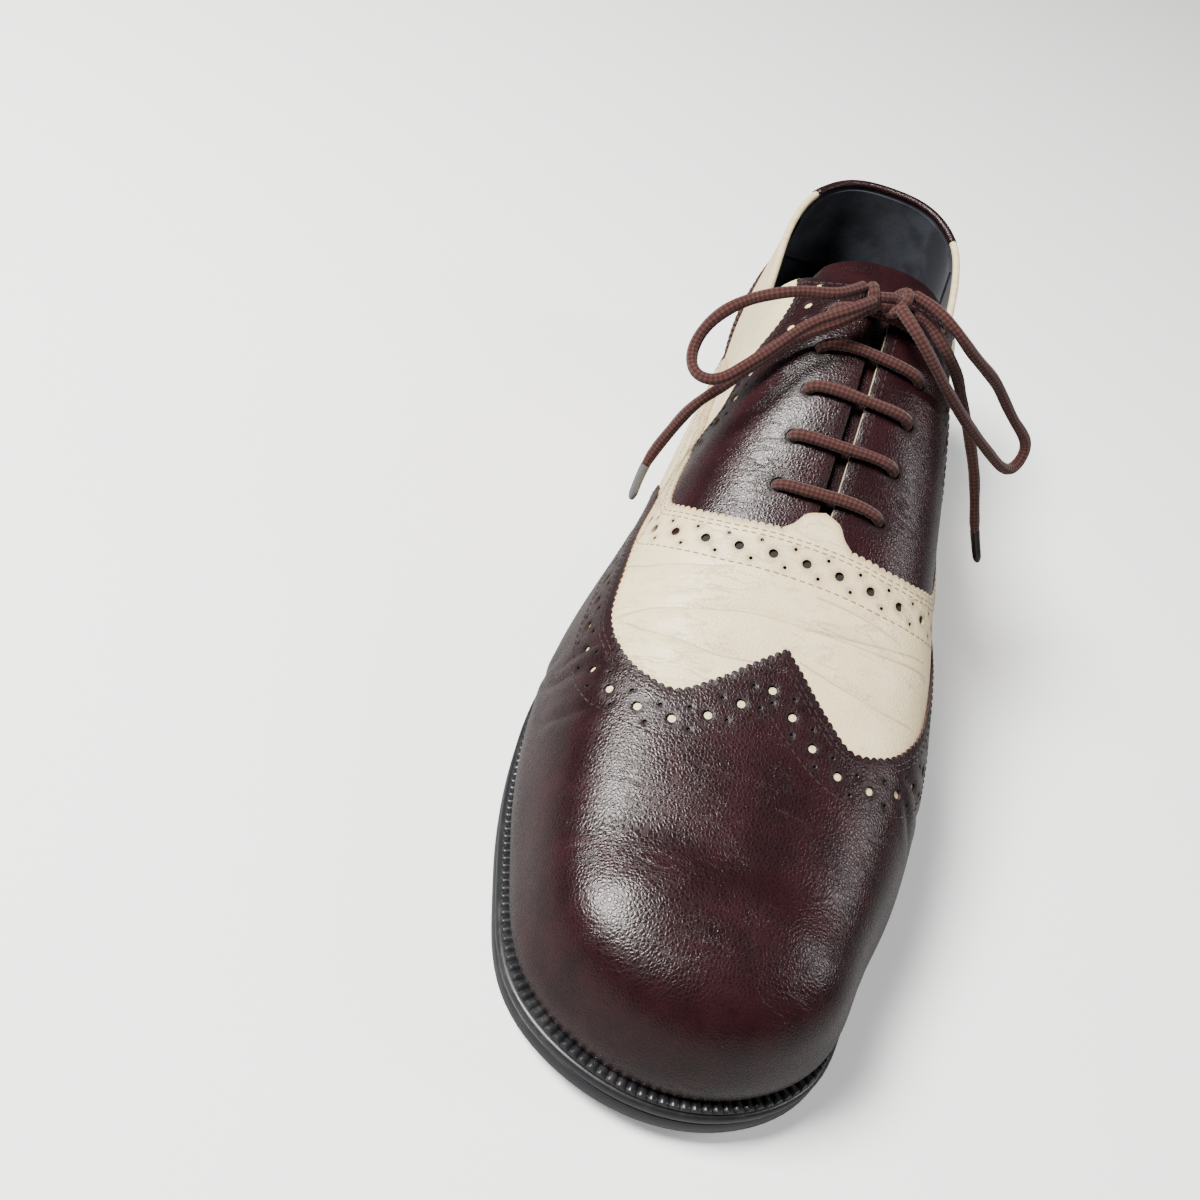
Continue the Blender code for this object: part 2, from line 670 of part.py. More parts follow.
# Sole pieces, on outlines drawn from the foot of the last
def foot_ring(grow=0.0, welt_share=0.0):
    """Plan points round the foot, moved out by grow and by a share of the welt's reach."""
    foot = GRID[:, 0, :2]
    along = np.roll(foot, -1, 0) - np.roll(foot, 1, 0)
    out = np.stack([along[:, 1], -along[:, 0]], axis=1)
    out /= np.linalg.norm(out, axis=1)[:, None]
    if ((foot - foot.mean(0)) * out).sum() < 0:
        out = -out
    edges = [row[13] for row in LAST]
    edges = edges + edges[-2:0:-1]
    reach = spline(KNOTS_ROUND[:-1], np.array(edges)[:, None],
                   np.interp(STATIONS, range(ROUND + 1), KNOTS_ROUND), period=1)
    return foot + out * (grow + welt_share * reach * WELT_REACH)


def slab(name, rings, look):
    """Closed body through stacked rings round the foot, with ladder faces across its top and bottom.

    rings: list of (plan points, height from the foot of the upper) or (plan points, heights)."""
    count = len(STATIONS)
    half = count // 2
    verts = []
    for plan, z in rings:
        heights = foot_height(plan[:, 1]) + z if np.ndim(z) == 0 else z
        verts += [(x, y, h) for (x, y), h in zip(plan, heights)]
    faces = []
    for k in range(len(rings) - 1):
        low, high = k * count, (k + 1) * count
        for i in range(count):
            j = (i + 1) % count
            faces.append([low + i, low + j, high + j, high + i])
    for base, flip in ((0, True), ((len(rings) - 1) * count, False)):
        for i in range(half):
            a, b = i, i + 1
            c, d = (count - b) % count, (count - a) % count
            ring = [base + v for v in dict.fromkeys((a, b, c, d))]
            faces.append(ring[::-1] if flip else ring)
    return mesh_object(name, verts, faces, look)


EDGE_ROUND = .0008
top = -GAP - WELT - GAP
outsole = slab("outsole", [(foot_ring(-EDGE_ROUND, 1), top - OUTSOLE), (foot_ring(0, 1), top - OUTSOLE + EDGE_ROUND),
                           (foot_ring(0, 1), top - EDGE_ROUND), (foot_ring(-EDGE_ROUND, 1), top)], black)

welt_inner = foot_ring(-WALL - .004, 0)


def ring_body(name, loops, look, home=parts):
    """Closed ring round the foot from its cross section: (plan points, height from the upper's foot) in order."""
    count = len(loops[0][0])
    verts = []
    for plan, z in loops:
        verts += [(x, y, h) for (x, y), h in zip(plan, foot_height(plan[:, 1]) + z)]
    faces = []
    for k in range(len(loops)):
        low, high = k * count, (k + 1) % len(loops) * count
        for i in range(count):
            j = (i + 1) % count
            faces.append([low + i, low + j, high + j, high + i])
    return mesh_object(name, verts, faces, look, home)


low = -GAP - WELT
welt = ring_body("welt", [(welt_inner, low), (foot_ring(-EDGE_ROUND, 1), low), (foot_ring(0, 1), low + EDGE_ROUND),
                          (foot_ring(0, 1), low + WELT - EDGE_ROUND), (foot_ring(-EDGE_ROUND, 1), low + WELT),
                          (welt_inner, low + WELT)], black)

# Insole, inside the upper and on the welt
insole = slab("insole", [(foot_ring(-WALL - GAP * 2, 0), 0), (foot_ring(-WALL - GAP * 2, 0), INSOLE)], lining)

# Ribbed bead on the welt round the forepart, from waist to waist
WAIST = 6.0
fine_s = np.linspace(WAIST, ROUND - WAIST, 600)
line, _ = spots_at(fine_s, np.zeros(600))
way = np.concatenate([[0], np.cumsum(np.linalg.norm(np.diff(line[:, :2], axis=0), axis=1))])
ribs = int(way[-1] / RIB_PITCH)
RIB_INSET = CAP + GAP * 3.5
places = np.interp(np.linspace(0, way[-1], 2 * ribs + 1), way, fine_s)
line, _ = spots_at(places, np.zeros(len(places)))
ahead = np.gradient(line[:, :2], axis=0)
out = np.stack([-ahead[:, 1], ahead[:, 0]], axis=1)
out /= np.linalg.norm(out, axis=1)[:, None]
if ((line[:, :2] - line[:, :2].mean(0)) * out).sum() < 0:
    out = -out
verts = []
faces = []
for i, (spot, side) in enumerate(zip(line[:, :2], out)):
    tall = RIB_HEIGHT * (1 if i % 2 else .45)
    near = spot + side * RIB_INSET
    far = near + side * RIB_WIDTH
    edge = far - side * RIB_WIDTH * .2
    for corner, z in ((near, 0), (far, 0), (edge, tall * .8), (near, tall)):
        verts.append((*corner, float(foot_height(corner[1])) + z))
for i in range(len(line) - 1):
    for k in range(4):
        faces.append([4 * i + k, 4 * i + (k + 1) % 4, 4 * i + 4 + (k + 1) % 4, 4 * i + 4 + k])
faces += [[0, 1, 2, 3], [4 * len(line) - 1 - k for k in range(4)]]
bead = mesh_object("ribbed_bead", verts, faces, black, smooth=20)

# Heel: stack and top lift, cut from one block behind the breast
breast_y = (.5 - HEEL_BREAST) * LENGTH


def heel_piece(name, low_z, high_z, low_in, high_in):
    """Part of the heel between two heights; None as a height is the underside of the outsole."""
    ring_low = foot_ring(-low_in, 1)
    ring_high = foot_ring(-high_in, 1)
    sole_foot = foot_height(ring_high[:, 1]) - GAP * 2 - WELT - OUTSOLE
    top_z = sole_foot - GAP if high_z is None else np.full(len(STATIONS), high_z)
    low = np.full(len(STATIONS), low_z)
    body = slab(name, [(ring_low, low), (ring_high, np.maximum(top_z, low + .0001))], black)
    return body


breast = [(breast_y - HEEL_SLANT, HEEL_LIFT + .004), (breast_y, 0 - .001), (-LENGTH, -.001),
          (-LENGTH, HEEL_LIFT + .004)]
breast_cutter = prism("breast", breast, (-BALL_WIDTH, BALL_WIDTH))
top_lift = heel_piece("top_lift", 0, TOP_LIFT, HEEL_TAPER, HEEL_TAPER * .75)
heel = heel_piece("heel", TOP_LIFT + GAP, None, HEEL_TAPER * .7, 0)
for piece in (top_lift, heel):
    cut(piece, breast_cutter)
    bake(piece)

# Lace bars across the slit, each a solid just clear of the facings
def tube(name, points, radius, look, resolution=2):
    curve = bpy.data.curves.new(name, "CURVE")
    curve.dimensions = "3D"
    curve.bevel_depth = radius
    curve.bevel_resolution = resolution
    curve.use_fill_caps = True
    run = curve.splines.new("POLY")
    run.points.add(len(points) - 1)
    for p, co in zip(run.points, points):
        p.co = (*co, 1)
    obj = bpy.data.objects.new(name, curve)
    parts.objects.link(obj)
    obj.data.materials.append(look)
    return obj


lift = GAP + FACING + GAP * 1.5 + LACE / 2
for pair in range(EYELETS):
    ends = [e for e in eyelets if e[0] == pair]
    at = FIRST_EYELET - pair * EYELET_PITCH / LENGTH
    run = []
    for side, reaches in ((-1, (1, .82, .55, .25)), (1, (.25, .55, .82, 1))):
        for share in reaches:
            s, u = over_instep(at, side, EYELET_REACH * share)
            spot, normal = spots_at([s], [u])
            run.append(spot[0] + normal[0] * lift)
    tube("lace_bar_%d" % (pair + 1), run, LACE / 2, cotton)

# The bow, as it lies in the photograph: routes of the cords in millimetres from the frame's origin
KNOT = (-2.0, 16.5, 123.7)
KNOT_SIZE = (6.4, 4.3, 3.9)
KNOT_TURN = 14.7             # degrees in plan
LOOP_OUTER = [(-8.8, 15.0, 126.0), (-15.8, 8.6, 124.8), (-21.5, 6.7, 124.2), (-28.0, 4.5, 122.5),
              (-34.0, 3.5, 119.0), (-40.4, -0.7, 114.0), (-43.3, -3.9, 108.0), (-43.2, -7.6, 104.5),
              (-40.3, -11.7, 103.0), (-36.2, -12.3, 103.5), (-31.2, -9.9, 107.0), (-24.5, -3.7, 113.0),
              (-17.8, 2.8, 118.8), (-11.7, 5.8, 122.6), (-5.5, 11.7, 124.8)]
END_OUTER = [(-6.2, 13.2, 120.9), (-11.6, 9.0, 117.6), (-19.4, 6.9, 111.5), (-27.7, 1.6, 103.0),
             (-33.1, -0.3, 95.0), (-38.1, -1.6, 88.0), (-42.2, -2.1, 77.5), (-45.5, -4.0, 66.0),
             (-46.3, -8.4, 56.0)]
LOOP_INNER = [(4.3, 18.6, 126.5), (9.2, 16.6, 126.3), (15.8, 13.6, 124.5), (23.4, 14.6, 119.0),
              (33.0, 19.8, 111.0), (45.4, 25.3, 98.0), (51.1, 25.9, 91.0), (50.4, 23.4, 87.0),
              (41.5, 16.6, 91.5), (29.0, 11.0, 102.5), (18.5, 6.9, 113.0), (11.0, 6.7, 120.0),
              (7.1, 7.9, 122.8), (2.0, 12.9, 124.7)]
END_INNER = [(4.4, 16.6, 121.9), (9.3, 17.8, 121.4), (15.4, 15.2, 118.4), (21.7, 16.4, 112.0),
             (27.7, 20.8, 102.5), (34.7, 23.2, 91.5), (42.7, 22.7, 78.0), (48.9, 21.1, 65.0),
             (54.4, 19.5, 55.0)]
AGLET = 0.0105
AGLET_DIA = 0.0027


def cord_points(route, spacing):
    """Points on one smooth curve through a route, a given distance apart."""
    spots = np.array(route) / 1000
    way = np.concatenate([[0], np.cumsum(np.linalg.norm(np.diff(spots, axis=0), axis=1))])
    fine = spline(way, spots, np.linspace(0, way[-1], 400))
    way = np.concatenate([[0], np.cumsum(np.linalg.norm(np.diff(fine, axis=0), axis=1))])
    count = max(int(round(way[-1] / spacing)), 2)
    return np.stack([np.interp(np.linspace(0, way[-1], count + 1), way, fine[:, k]) for k in range(3)], axis=1), way[-1]


def split_end(points, length):
    """Parts a cord's last stretch from it: the cord's points and the stretch's two ends."""
    way = np.concatenate([[0], np.cumsum(np.linalg.norm(np.diff(points, axis=0), axis=1))])
    at = way[-1] - length
    cut_spot = np.array([np.interp(at, way, points[:, k]) for k in range(3)])
    tip = points[-1]
    ahead = (tip - cut_spot) / np.linalg.norm(tip - cut_spot)
    body = [p for p, w in zip(points, way) if w < at - .003] + [cut_spot - ahead * GAP * 2]
    return body, [cut_spot, cut_spot + ahead * length]


for name, route in (("lace_loop_outer", LOOP_OUTER), ("lace_loop_inner", LOOP_INNER)):
    tube(name, cord_points(route, LACE * 2.5)[0], LACE / 2, cotton)
for name, tip_name, route in (("lace_end_outer", "aglet_outer", END_OUTER), ("lace_end_inner", "aglet_inner", END_INNER)):
    body, tip = split_end(cord_points(route, LACE * 2.5)[0], AGLET)
    tube(name, body, LACE / 2, cotton)
    tube(tip_name, tip, AGLET_DIA / 2, lining)

bm = bmesh.new()
bmesh.ops.create_uvsphere(bm, u_segments=12, v_segments=8, radius=1)
turn = Matrix.Rotation(radians(KNOT_TURN), 3, "Z")
for v in bm.verts:
    v.co = (turn @ Vector([c * r for c, r in zip(v.co, KNOT_SIZE)]) + Vector(KNOT)) / 1000
knot_mesh = bpy.data.meshes.new("lace_knot")
bm.to_mesh(knot_mesh)
bm.free()
knot_mesh.shade_smooth()
knot_mesh.materials.append(cotton)
parts.objects.link(bpy.data.objects.new("lace_knot", knot_mesh))

# The frame's origin is under the middle of the sole's outline
outline = foot_ring(0, 1)
middle = (outline.min(0) + outline.max(0)) / 2
for obj in parts.objects:
    if obj.type == "CURVE":
        for run in obj.data.splines:
            for p in run.points:
                p.co = (p.co.x - middle[0], p.co.y - middle[1], p.co.z, 1)
    else:
        obj.data.transform(Matrix.Translation((-middle[0], -middle[1], 0)))
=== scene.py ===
# %% [markdown]
# # A two-tone full brogue shoe, dressed in leather
# This lesson starts from the plain solids of a right spectator shoe and gives it what a shoemaker
# gives the real one: leather panels with pinked edges and punched holes, seams, creases, a ribbed
# welt, a lined collar and a cotton lace tied in a bow.  The solids stay the measure of the shoe.
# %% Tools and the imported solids
from math import cos, pi, radians, sin

import bmesh
import bpy
import numpy as np
from mathutils import Matrix, Vector
from mathutils.geometry import delaunay_2d_cdt
from mathutils.kdtree import KDTree


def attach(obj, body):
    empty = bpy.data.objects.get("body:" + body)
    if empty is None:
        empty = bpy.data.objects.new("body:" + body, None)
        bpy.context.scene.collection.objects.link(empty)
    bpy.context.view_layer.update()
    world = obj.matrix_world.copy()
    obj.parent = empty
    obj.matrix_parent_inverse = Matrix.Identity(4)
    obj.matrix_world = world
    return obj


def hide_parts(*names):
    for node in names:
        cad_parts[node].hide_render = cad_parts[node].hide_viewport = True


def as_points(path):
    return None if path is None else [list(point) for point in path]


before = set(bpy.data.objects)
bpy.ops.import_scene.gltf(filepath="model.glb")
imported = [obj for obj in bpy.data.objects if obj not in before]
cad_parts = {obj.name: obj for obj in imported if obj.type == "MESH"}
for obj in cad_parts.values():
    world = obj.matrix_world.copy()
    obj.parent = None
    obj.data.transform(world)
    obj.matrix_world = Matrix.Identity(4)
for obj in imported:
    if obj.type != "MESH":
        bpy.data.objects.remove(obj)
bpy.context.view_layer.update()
scene = bpy.context.scene

# %% [markdown]
# ## Camera
# A camera is a place, a direction and a lens.  This one was fitted until the outlines of the
# finished shoe fell on those of the photograph: it looks down on the toe from the front and is
# rolled a little, so that the shoe leans across the frame.  The three columns of its matrix are its
# right, its up and its back.
# %% Camera
MIDDLE = Vector((0.000464, 0.000312, 0))        # from the last's own frame to the middle of the sole
MIDDLE_ROW = np.array([*MIDDLE])
CAMERA_TARGET = Vector((-0.0451049, -0.020, 0.0261025)) - MIDDLE
CAMERA_DISTANCE = 0.3521759
FOCAL = 1226.946 / 1200                         # in widths of the frame
SENSOR = 36
azimuth, elevation, roll = radians(1.7293), radians(44.1147), radians(18.6858)
back = Vector((sin(azimuth) * cos(elevation), -cos(azimuth) * cos(elevation), sin(elevation)))
level = Vector((cos(azimuth), sin(azimuth), 0))
upward = back.cross(level)
right = level * cos(roll) + upward * sin(roll)
top = upward * cos(roll) - level * sin(roll)
lens = bpy.data.cameras.new("camera")
lens.sensor_width = SENSOR
lens.lens = FOCAL * SENSOR
camera = bpy.data.objects.new("camera", lens)
scene.collection.objects.link(camera)
turned = Matrix((right, top, back)).transposed().to_4x4()
camera.matrix_world = Matrix.Translation(CAMERA_TARGET + back * CAMERA_DISTANCE) @ turned
scene.camera = camera
print("camera at", [round(c, 3) for c in camera.matrix_world.translation])

# %% [markdown]
# ## The last
# A shoe is built over a last, a wooden foot.  Here it is a table: one row for each cross section,
# from the back of the heel round the outer side to the toe, with its reach to both sides and its
# height.  Smooth curves run through the rows, so that any place on the leather is known by two
# numbers: the station round the foot, and the share of the way up from the sole to the ridge.
# %% Sizes of the shoe
# metres
LENGTH = 0.304
BALL_WIDTH = 0.101
INSTEP_HEIGHT = 0.117
BACK_HEIGHT = 0.097
HEEL_LIFT = 0.0225
TOE_SPRING = 0.0052
OUTSOLE = 0.0050
WELT = 0.0030
WELT_REACH = 0.0064
GAP = 0.0003
LACE = 0.0030
# at is a share of the length from the back, turn is in degrees; across, outer and inner are shares of
# the ball's width and top of the instep's height; heel and toe are shares of the sole's lift; foot to
# near are shares of the reach at five levels; edge is a share of the welt's reach
# at, turn, across, outer, inner, heel, toe, top, foot, low, mid, high, near, edge
LAST = [
    (.105, -90, .000, .297, .297, 1.00, .00, 1.060, .93, 1.0, .96, .84, .50, .60),
    (.105, -60, .000, .312, .312, 1.00, .00, 1.060, .93, 1.0, .95, .83, .50, .60),
    (.105, -30, .000, .322, .322, 1.00, .00, 1.060, .93, 1.0, .93, .80, .50, .60),
    (.105,   0, .000, .332, .327, 1.00, .00, 1.060, .93, 1.0, .92, .78, .50, .60),
    (.200,   0, .000, .342, .330, 0.95, .00, 1.060, .93, 1.0, .91, .76, .48, .60),
    (.320,   0, .000, .362, .335, 0.74, .00, 1.038, .92, 1.0, .90, .74, .45, .64),
    (.420,   0, .000, .385, .360, 0.48, .00, 1.000, .89, 1.0, .90, .73, .43, .72),
    (.500,   0, .004, .415, .405, 0.24, .00, 0.906, .90, 1.0, .90, .73, .43, .82),
    (.580,   0, .010, .470, .445, 0.06, .00, 0.760, .93, 1.0, .92, .75, .45, .93),
    (.660,   0, .018, .510, .475, 0.00, .00, 0.640, .94, 1.0, .94, .78, .47, 1.0),
    (.740,   0, .024, .505, .470, 0.00, .00, 0.540, .94, 1.0, .95, .81, .50, 1.0),
    (.810,   0, .034, .475, .425, 0.00, .26, 0.478, .94, 1.0, .96, .83, .52, 1.0),
    (.862,   0, .044, .440, .372, 0.00, .55, 0.438, .94, 1.0, .96, .84, .52, 1.0),
    (.862,  30, .044, .410, .372, 0.00, .55, 0.438, .94, 1.0, .96, .82, .44, 1.0),
    (.862,  60, .044, .380, .366, 0.00, .55, 0.438, .94, 1.0, .96, .79, .34, 1.0),
    (.862,  90, .044, .366, .366, 0.00, .55, 0.438, .94, 1.0, .96, .77, .29, 1.0),
]
LEVELS = (0, .20, .47, .78, .955, 1)
ROWS = len(LAST)
ROUND = 2 * (ROWS - 1)
TOE = ROUND // 2
LAST_RISE = .980
RISES = [(row[0], row[5], row[6]) for row in LAST[3:13]]
RISES = [(0, 1, 0)] + RISES + [(.925, 0, .85), (LAST_RISE, 0, 1.15)]
print("sections:", ROWS, "stations round the foot:", ROUND)


# %% Smooth curves through rows of numbers
def spline(knots, values, at, end=None, period=None):
    """Curve with even bending through values at knots, read at the places in at."""
    t = np.asarray(knots, float)
    v = np.asarray(values, float)
    flat = v.reshape(len(v), -1)
    n = len(flat)
    at = np.asarray(at, float)
    rows = np.zeros((n, n))
    pull = np.zeros_like(flat)
    if period is not None:
        t = np.append(t, t[0] + period)
        at = t[0] + np.mod(at - t[0], period)
    h = np.diff(t)
    for i in range(n) if period is not None else range(1, n - 1):
        before, after = (i - 1) % n, (i + 1) % n
        hm, hp = h[i - 1], h[i]
        rows[i, before] += hm
        rows[i, i] += 2 * (hm + hp)
        rows[i, after] += hp
        pull[i] = 6 * ((flat[after] - flat[i]) / hp - (flat[i] - flat[before]) / hm)
    if period is None:
        rows[0, 0] = rows[-1, -1] = 1
        if end is not None:
            rows[-1, -2:] = h[-1], 2 * h[-1]
            pull[-1] = 6 * (end - (flat[-1] - flat[-2]) / h[-1])
    bend = np.linalg.solve(rows, pull)
    k = np.clip(np.searchsorted(t, at, side="right") - 1, 0, len(h) - 1)
    a, b = k % n, (k + 1) % n
    step = h[k][:, None]
    s = ((at - t[k]) / h[k])[:, None]
    out = flat[a] * (1 - s) + flat[b] * s
    out += ((1 - s) ** 3 - (1 - s)) * bend[a] * step ** 2 / 6
    out += (s ** 3 - s) * bend[b] * step ** 2 / 6
    return out.reshape((len(at),) + v.shape[1:])


def steady(knots, values, at):
    """Curve through values at knots that never swings past them."""
    t = np.asarray(knots, float)
    v = np.asarray(values, float)
    h = np.diff(t)[:, None]
    d = np.diff(v, axis=0) / h
    slope = np.zeros_like(v)
    wa, wb = 2 * h[1:] + h[:-1], h[1:] + 2 * h[:-1]
    same = d[:-1] * d[1:] > 0
    shared = wa / np.where(same, d[:-1], 1) + wb / np.where(same, d[1:], 1)
    slope[1:-1] = np.where(same, (wa + wb) / shared, 0)
    slope[0], slope[-1] = d[0], d[-1]
    k = np.clip(np.searchsorted(t, at, side="right") - 1, 0, len(h) - 1)
    s = ((np.asarray(at) - t[k]) / h[k, 0])[:, None]
    return (v[k] * (1 + 2 * s) * (1 - s) ** 2 + v[k + 1] * s * s * (3 - 2 * s)
            + slope[k] * h[k] * s * (1 - s) ** 2 - slope[k + 1] * h[k] * s * s * (1 - s))


# %% The last's surface
def foot_height(y):
    """Floor to the foot of the upper at y."""
    y = np.asarray(y, float)
    at = (.5 - y / LENGTH).reshape(-1)
    lifts = [(heel * HEEL_LIFT + toe * TOE_SPRING,) for _, heel, toe in RISES]
    rise = steady([r[0] for r in RISES], lifts, np.clip(at, 0, LAST_RISE))[:, 0]
    rise = rise + np.maximum(at - LAST_RISE, 0) * TOE_SPRING * 5
    return rise.reshape(y.shape) + OUTSOLE + WELT + 2 * GAP


def section(row, side):
    """Points of one section, foot to ridge, and the slope at its end."""
    at, turn, across, outer, inner, _, _, top_share, *rest = LAST[row]
    shares = rest[:5] + [0]
    reach = (outer if side < 0 else inner) * BALL_WIDTH
    bend = radians(turn)
    ahead = np.array([side * cos(bend), -sin(bend)])
    spine = np.array([across * BALL_WIDTH, (.5 - at) * LENGTH])
    low = float(foot_height(spine[1] + ahead[1] * reach * shares[0]))
    points = []
    for share_up, share in zip(LEVELS, shares):
        x, y = spine + ahead * reach * share
        points.append((x, y, low + (top_share * INSTEP_HEIGHT - low) * share_up))
    drop = 0
    if turn > 0:
        before, last_row = LAST[11], LAST[12]
        fall = (last_row[7] - before[7]) * INSTEP_HEIGHT / (abs(last_row[0] - before[0]) * LENGTH)
        drop = fall * .55 * sin(bend)
    travel = reach * shares[4] * (len(LEVELS) - 1) * 1.15
    return np.array(points), np.array([-ahead[0], -ahead[1], -drop]) * travel


SECTIONS = [section(r, -1) for r in range(ROWS)] + [section(r, 1) for r in range(ROWS - 2, 0, -1)]
low_line = np.array([points[2] for points, _ in SECTIONS])
steps = np.linalg.norm(np.roll(low_line, -1, 0) - low_line, axis=1)
steps = (steps + steps[::-1]) / 2
KNOTS_ROUND = np.concatenate([[0], np.cumsum(steps)]) / steps.sum()


def last(stations, ups):
    """Grid of points of the last: len(stations) by len(ups) by 3.  Near the ridge it takes the steady
    curve, which can't swing up and down between the sections."""
    ups = np.asarray(ups, float)
    knots_up = np.linspace(0, 1, len(LEVELS))
    profiles = np.array([spline(knots_up, points, ups, end=end) for points, end in SECTIONS])
    places = np.interp(np.asarray(stations, float), range(ROUND + 1), KNOTS_ROUND)
    smooth = spline(KNOTS_ROUND[:-1], profiles, places, period=1)
    closed = np.concatenate([profiles[-3:], profiles, profiles[:4]])
    knots = np.concatenate([KNOTS_ROUND[-4:-1] - 1, KNOTS_ROUND[:-1], KNOTS_ROUND[:4] + 1])
    level_ridge = steady(knots, closed.reshape(len(closed), -1), places).reshape(smooth.shape)
    share = np.clip((ups - .7) / .3, 0, 1)
    share = (share * share * (3 - 2 * share))[None, :, None]
    return smooth * (1 - share) + level_ridge * share


FINE = 20
FINE_UPS = np.linspace(0, 1, 161)
SKIN = last(np.arange(ROUND * FINE) / FINE, FINE_UPS) - MIDDLE_ROW
print("skin grid:", SKIN.shape, "width %.1f mm" % (np.ptp(SKIN[..., 0]) * 1000))

# %% [markdown]
# ## The flat pattern
# Leather is cut flat and pulled over the last, so the panels are drawn flat too, in millimetres.
# The ridge of the last becomes the straight line y = 0, with the outer side above it and the inner
# side below; at the toe the sections fan out.  A hole is then a plain circle and a seam is a line
# beside an edge, and both land on the shoe at their real size.  The back of the heel is too steep
# for that map, so the heel counter is drawn on a second one: the way round and the way up.
# %% Flat maps and back
def way_along(points):
    """Distance along a line of points, at each of them."""
    return np.concatenate([[0], np.cumsum(np.linalg.norm(np.diff(points, axis=0), axis=1))])


def at_ways(places, way, rows):
    """Rows between a line's rows, at places on its way."""
    return np.stack([np.interp(places, way, column) for column in rows.T], axis=-1)


FAN = 3                                         # stations over which the map fans out at each end
HEEL_FAN, TOE_FAN = FAN, TOE - FAN
REACH_STEP = .25                                # mm
FROM_RIDGE = np.array([way_along(column[::-1])[::-1] for column in SKIN]) * 1000
FROM_FOOT = FROM_RIDGE[:, :1] - FROM_RIDGE
RIDGE_WAY = np.concatenate([way_along(SKIN[:TOE * FINE, -1]) * 1000, [0]])
RIDGE_WAY[-1] = RIDGE_WAY[-2]
RIDGE_WAY -= RIDGE_WAY[HEEL_FAN * FINE]
RIDGE_WAY[:HEEL_FAN * FINE] = 0
RIDGE_WAY[TOE_FAN * FINE:] = RIDGE_WAY[TOE_FAN * FINE]
TOE_PLACE = RIDGE_WAY[-1]
STRAIGHT = slice(HEEL_FAN * FINE, TOE_FAN * FINE + 1)
HALF = np.arange(TOE * FINE + 1) / FINE
REACHES = np.arange(0, 160, REACH_STEP)
UP_OF_REACH = np.array([np.interp(REACHES, column[::-1], FINE_UPS[::-1]) for column in FROM_RIDGE])
UP_OF_RISE = np.array([np.interp(REACHES, column, FINE_UPS) for column in FROM_FOOT])
LOW_COLUMN = 50                                 # the level where the heel map's way round is measured
ROUND_WAY = way_along(np.vstack([SKIN[:, LOW_COLUMN], SKIN[:1, LOW_COLUMN]])) * 1000


def read(table, rows, columns):
    """Values of a table between its rows (going round) and its columns."""
    i = np.floor(rows).astype(int)
    j = np.clip(np.floor(columns).astype(int), 0, table.shape[1] - 2)
    fi, fj = rows - i, np.clip(columns - j, 0, 1)
    if table.ndim == 3:
        fi, fj = fi[:, None], fj[:, None]
    i, after = i % len(table), (i + 1) % len(table)
    low = table[i, j] * (1 - fi) + table[after, j] * fi
    high = table[i, j + 1] * (1 - fi) + table[after, j + 1] * fi
    return low * (1 - fj) + high * fj


def to_crown(stations, ups):
    """Flat place of a place on the last, on the map from the ridge."""
    s = np.mod(np.asarray(stations, float), ROUND)
    u = np.clip(np.asarray(ups, float), 0, 1)
    reach = read(FROM_RIDGE, s * FINE, u * (len(FINE_UPS) - 1))
    side = np.where(s <= TOE, 1, -1)
    t = np.minimum(s, ROUND - s)
    behind = np.where(t < HEEL_FAN, (t - HEEL_FAN) / FAN, 0)
    turn = np.where(t > TOE_FAN, (t - TOE_FAN) / FAN, behind) * pi / 2
    along = np.interp(t, HALF, RIDGE_WAY) + np.sin(turn) * reach
    return np.stack([along, side * np.cos(turn) * reach], axis=1)


def from_crown(flat):
    """Station and share up of flat places on the map from the ridge."""
    flat = np.asarray(flat, float)
    x, y = flat[:, 0], np.abs(flat[:, 1])
    past_toe, past_heel = np.maximum(x - TOE_PLACE, 0), np.maximum(-x, 0)
    reach = np.hypot(past_toe + past_heel, y)
    turn = np.arctan2(past_toe - past_heel, np.maximum(y, 1e-9)) / (pi / 2) * FAN
    straight = np.interp(x, RIDGE_WAY[STRAIGHT], HALF[STRAIGHT])
    t = np.where(turn > 0, TOE_FAN + turn, np.where(turn < 0, HEEL_FAN + turn, straight))
    s = np.where(flat[:, 1] >= 0, t, ROUND - t)
    return s, read(UP_OF_REACH, s * FINE, reach / REACH_STEP)


def to_heel(stations, ups):
    """Flat place on the map round the heel: the way round and the way up."""
    s = np.mod(np.asarray(stations, float) + TOE, ROUND) - TOE
    way = np.interp(np.mod(s, ROUND) * FINE, range(len(ROUND_WAY)), ROUND_WAY)
    up = read(FROM_FOOT, np.mod(s, ROUND) * FINE, np.asarray(ups, float) * (len(FINE_UPS) - 1))
    return np.stack([np.where(s < 0, way - ROUND_WAY[-1], way), up], axis=1)


def from_heel(flat):
    """Station and share up of flat places on the map round the heel."""
    flat = np.asarray(flat, float)
    s = np.interp(np.mod(flat[:, 0], ROUND_WAY[-1]), ROUND_WAY, np.arange(len(ROUND_WAY)) / FINE)
    return s, read(UP_OF_RISE, s * FINE, flat[:, 1] / REACH_STEP)


BALL = 10
ball_girth = FROM_RIDGE[BALL * FINE, 0] + FROM_RIDGE[(ROUND - BALL) * FINE, 0]
print("ridge %.0f mm, girth at the ball %.0f mm" % (TOE_PLACE, ball_girth))

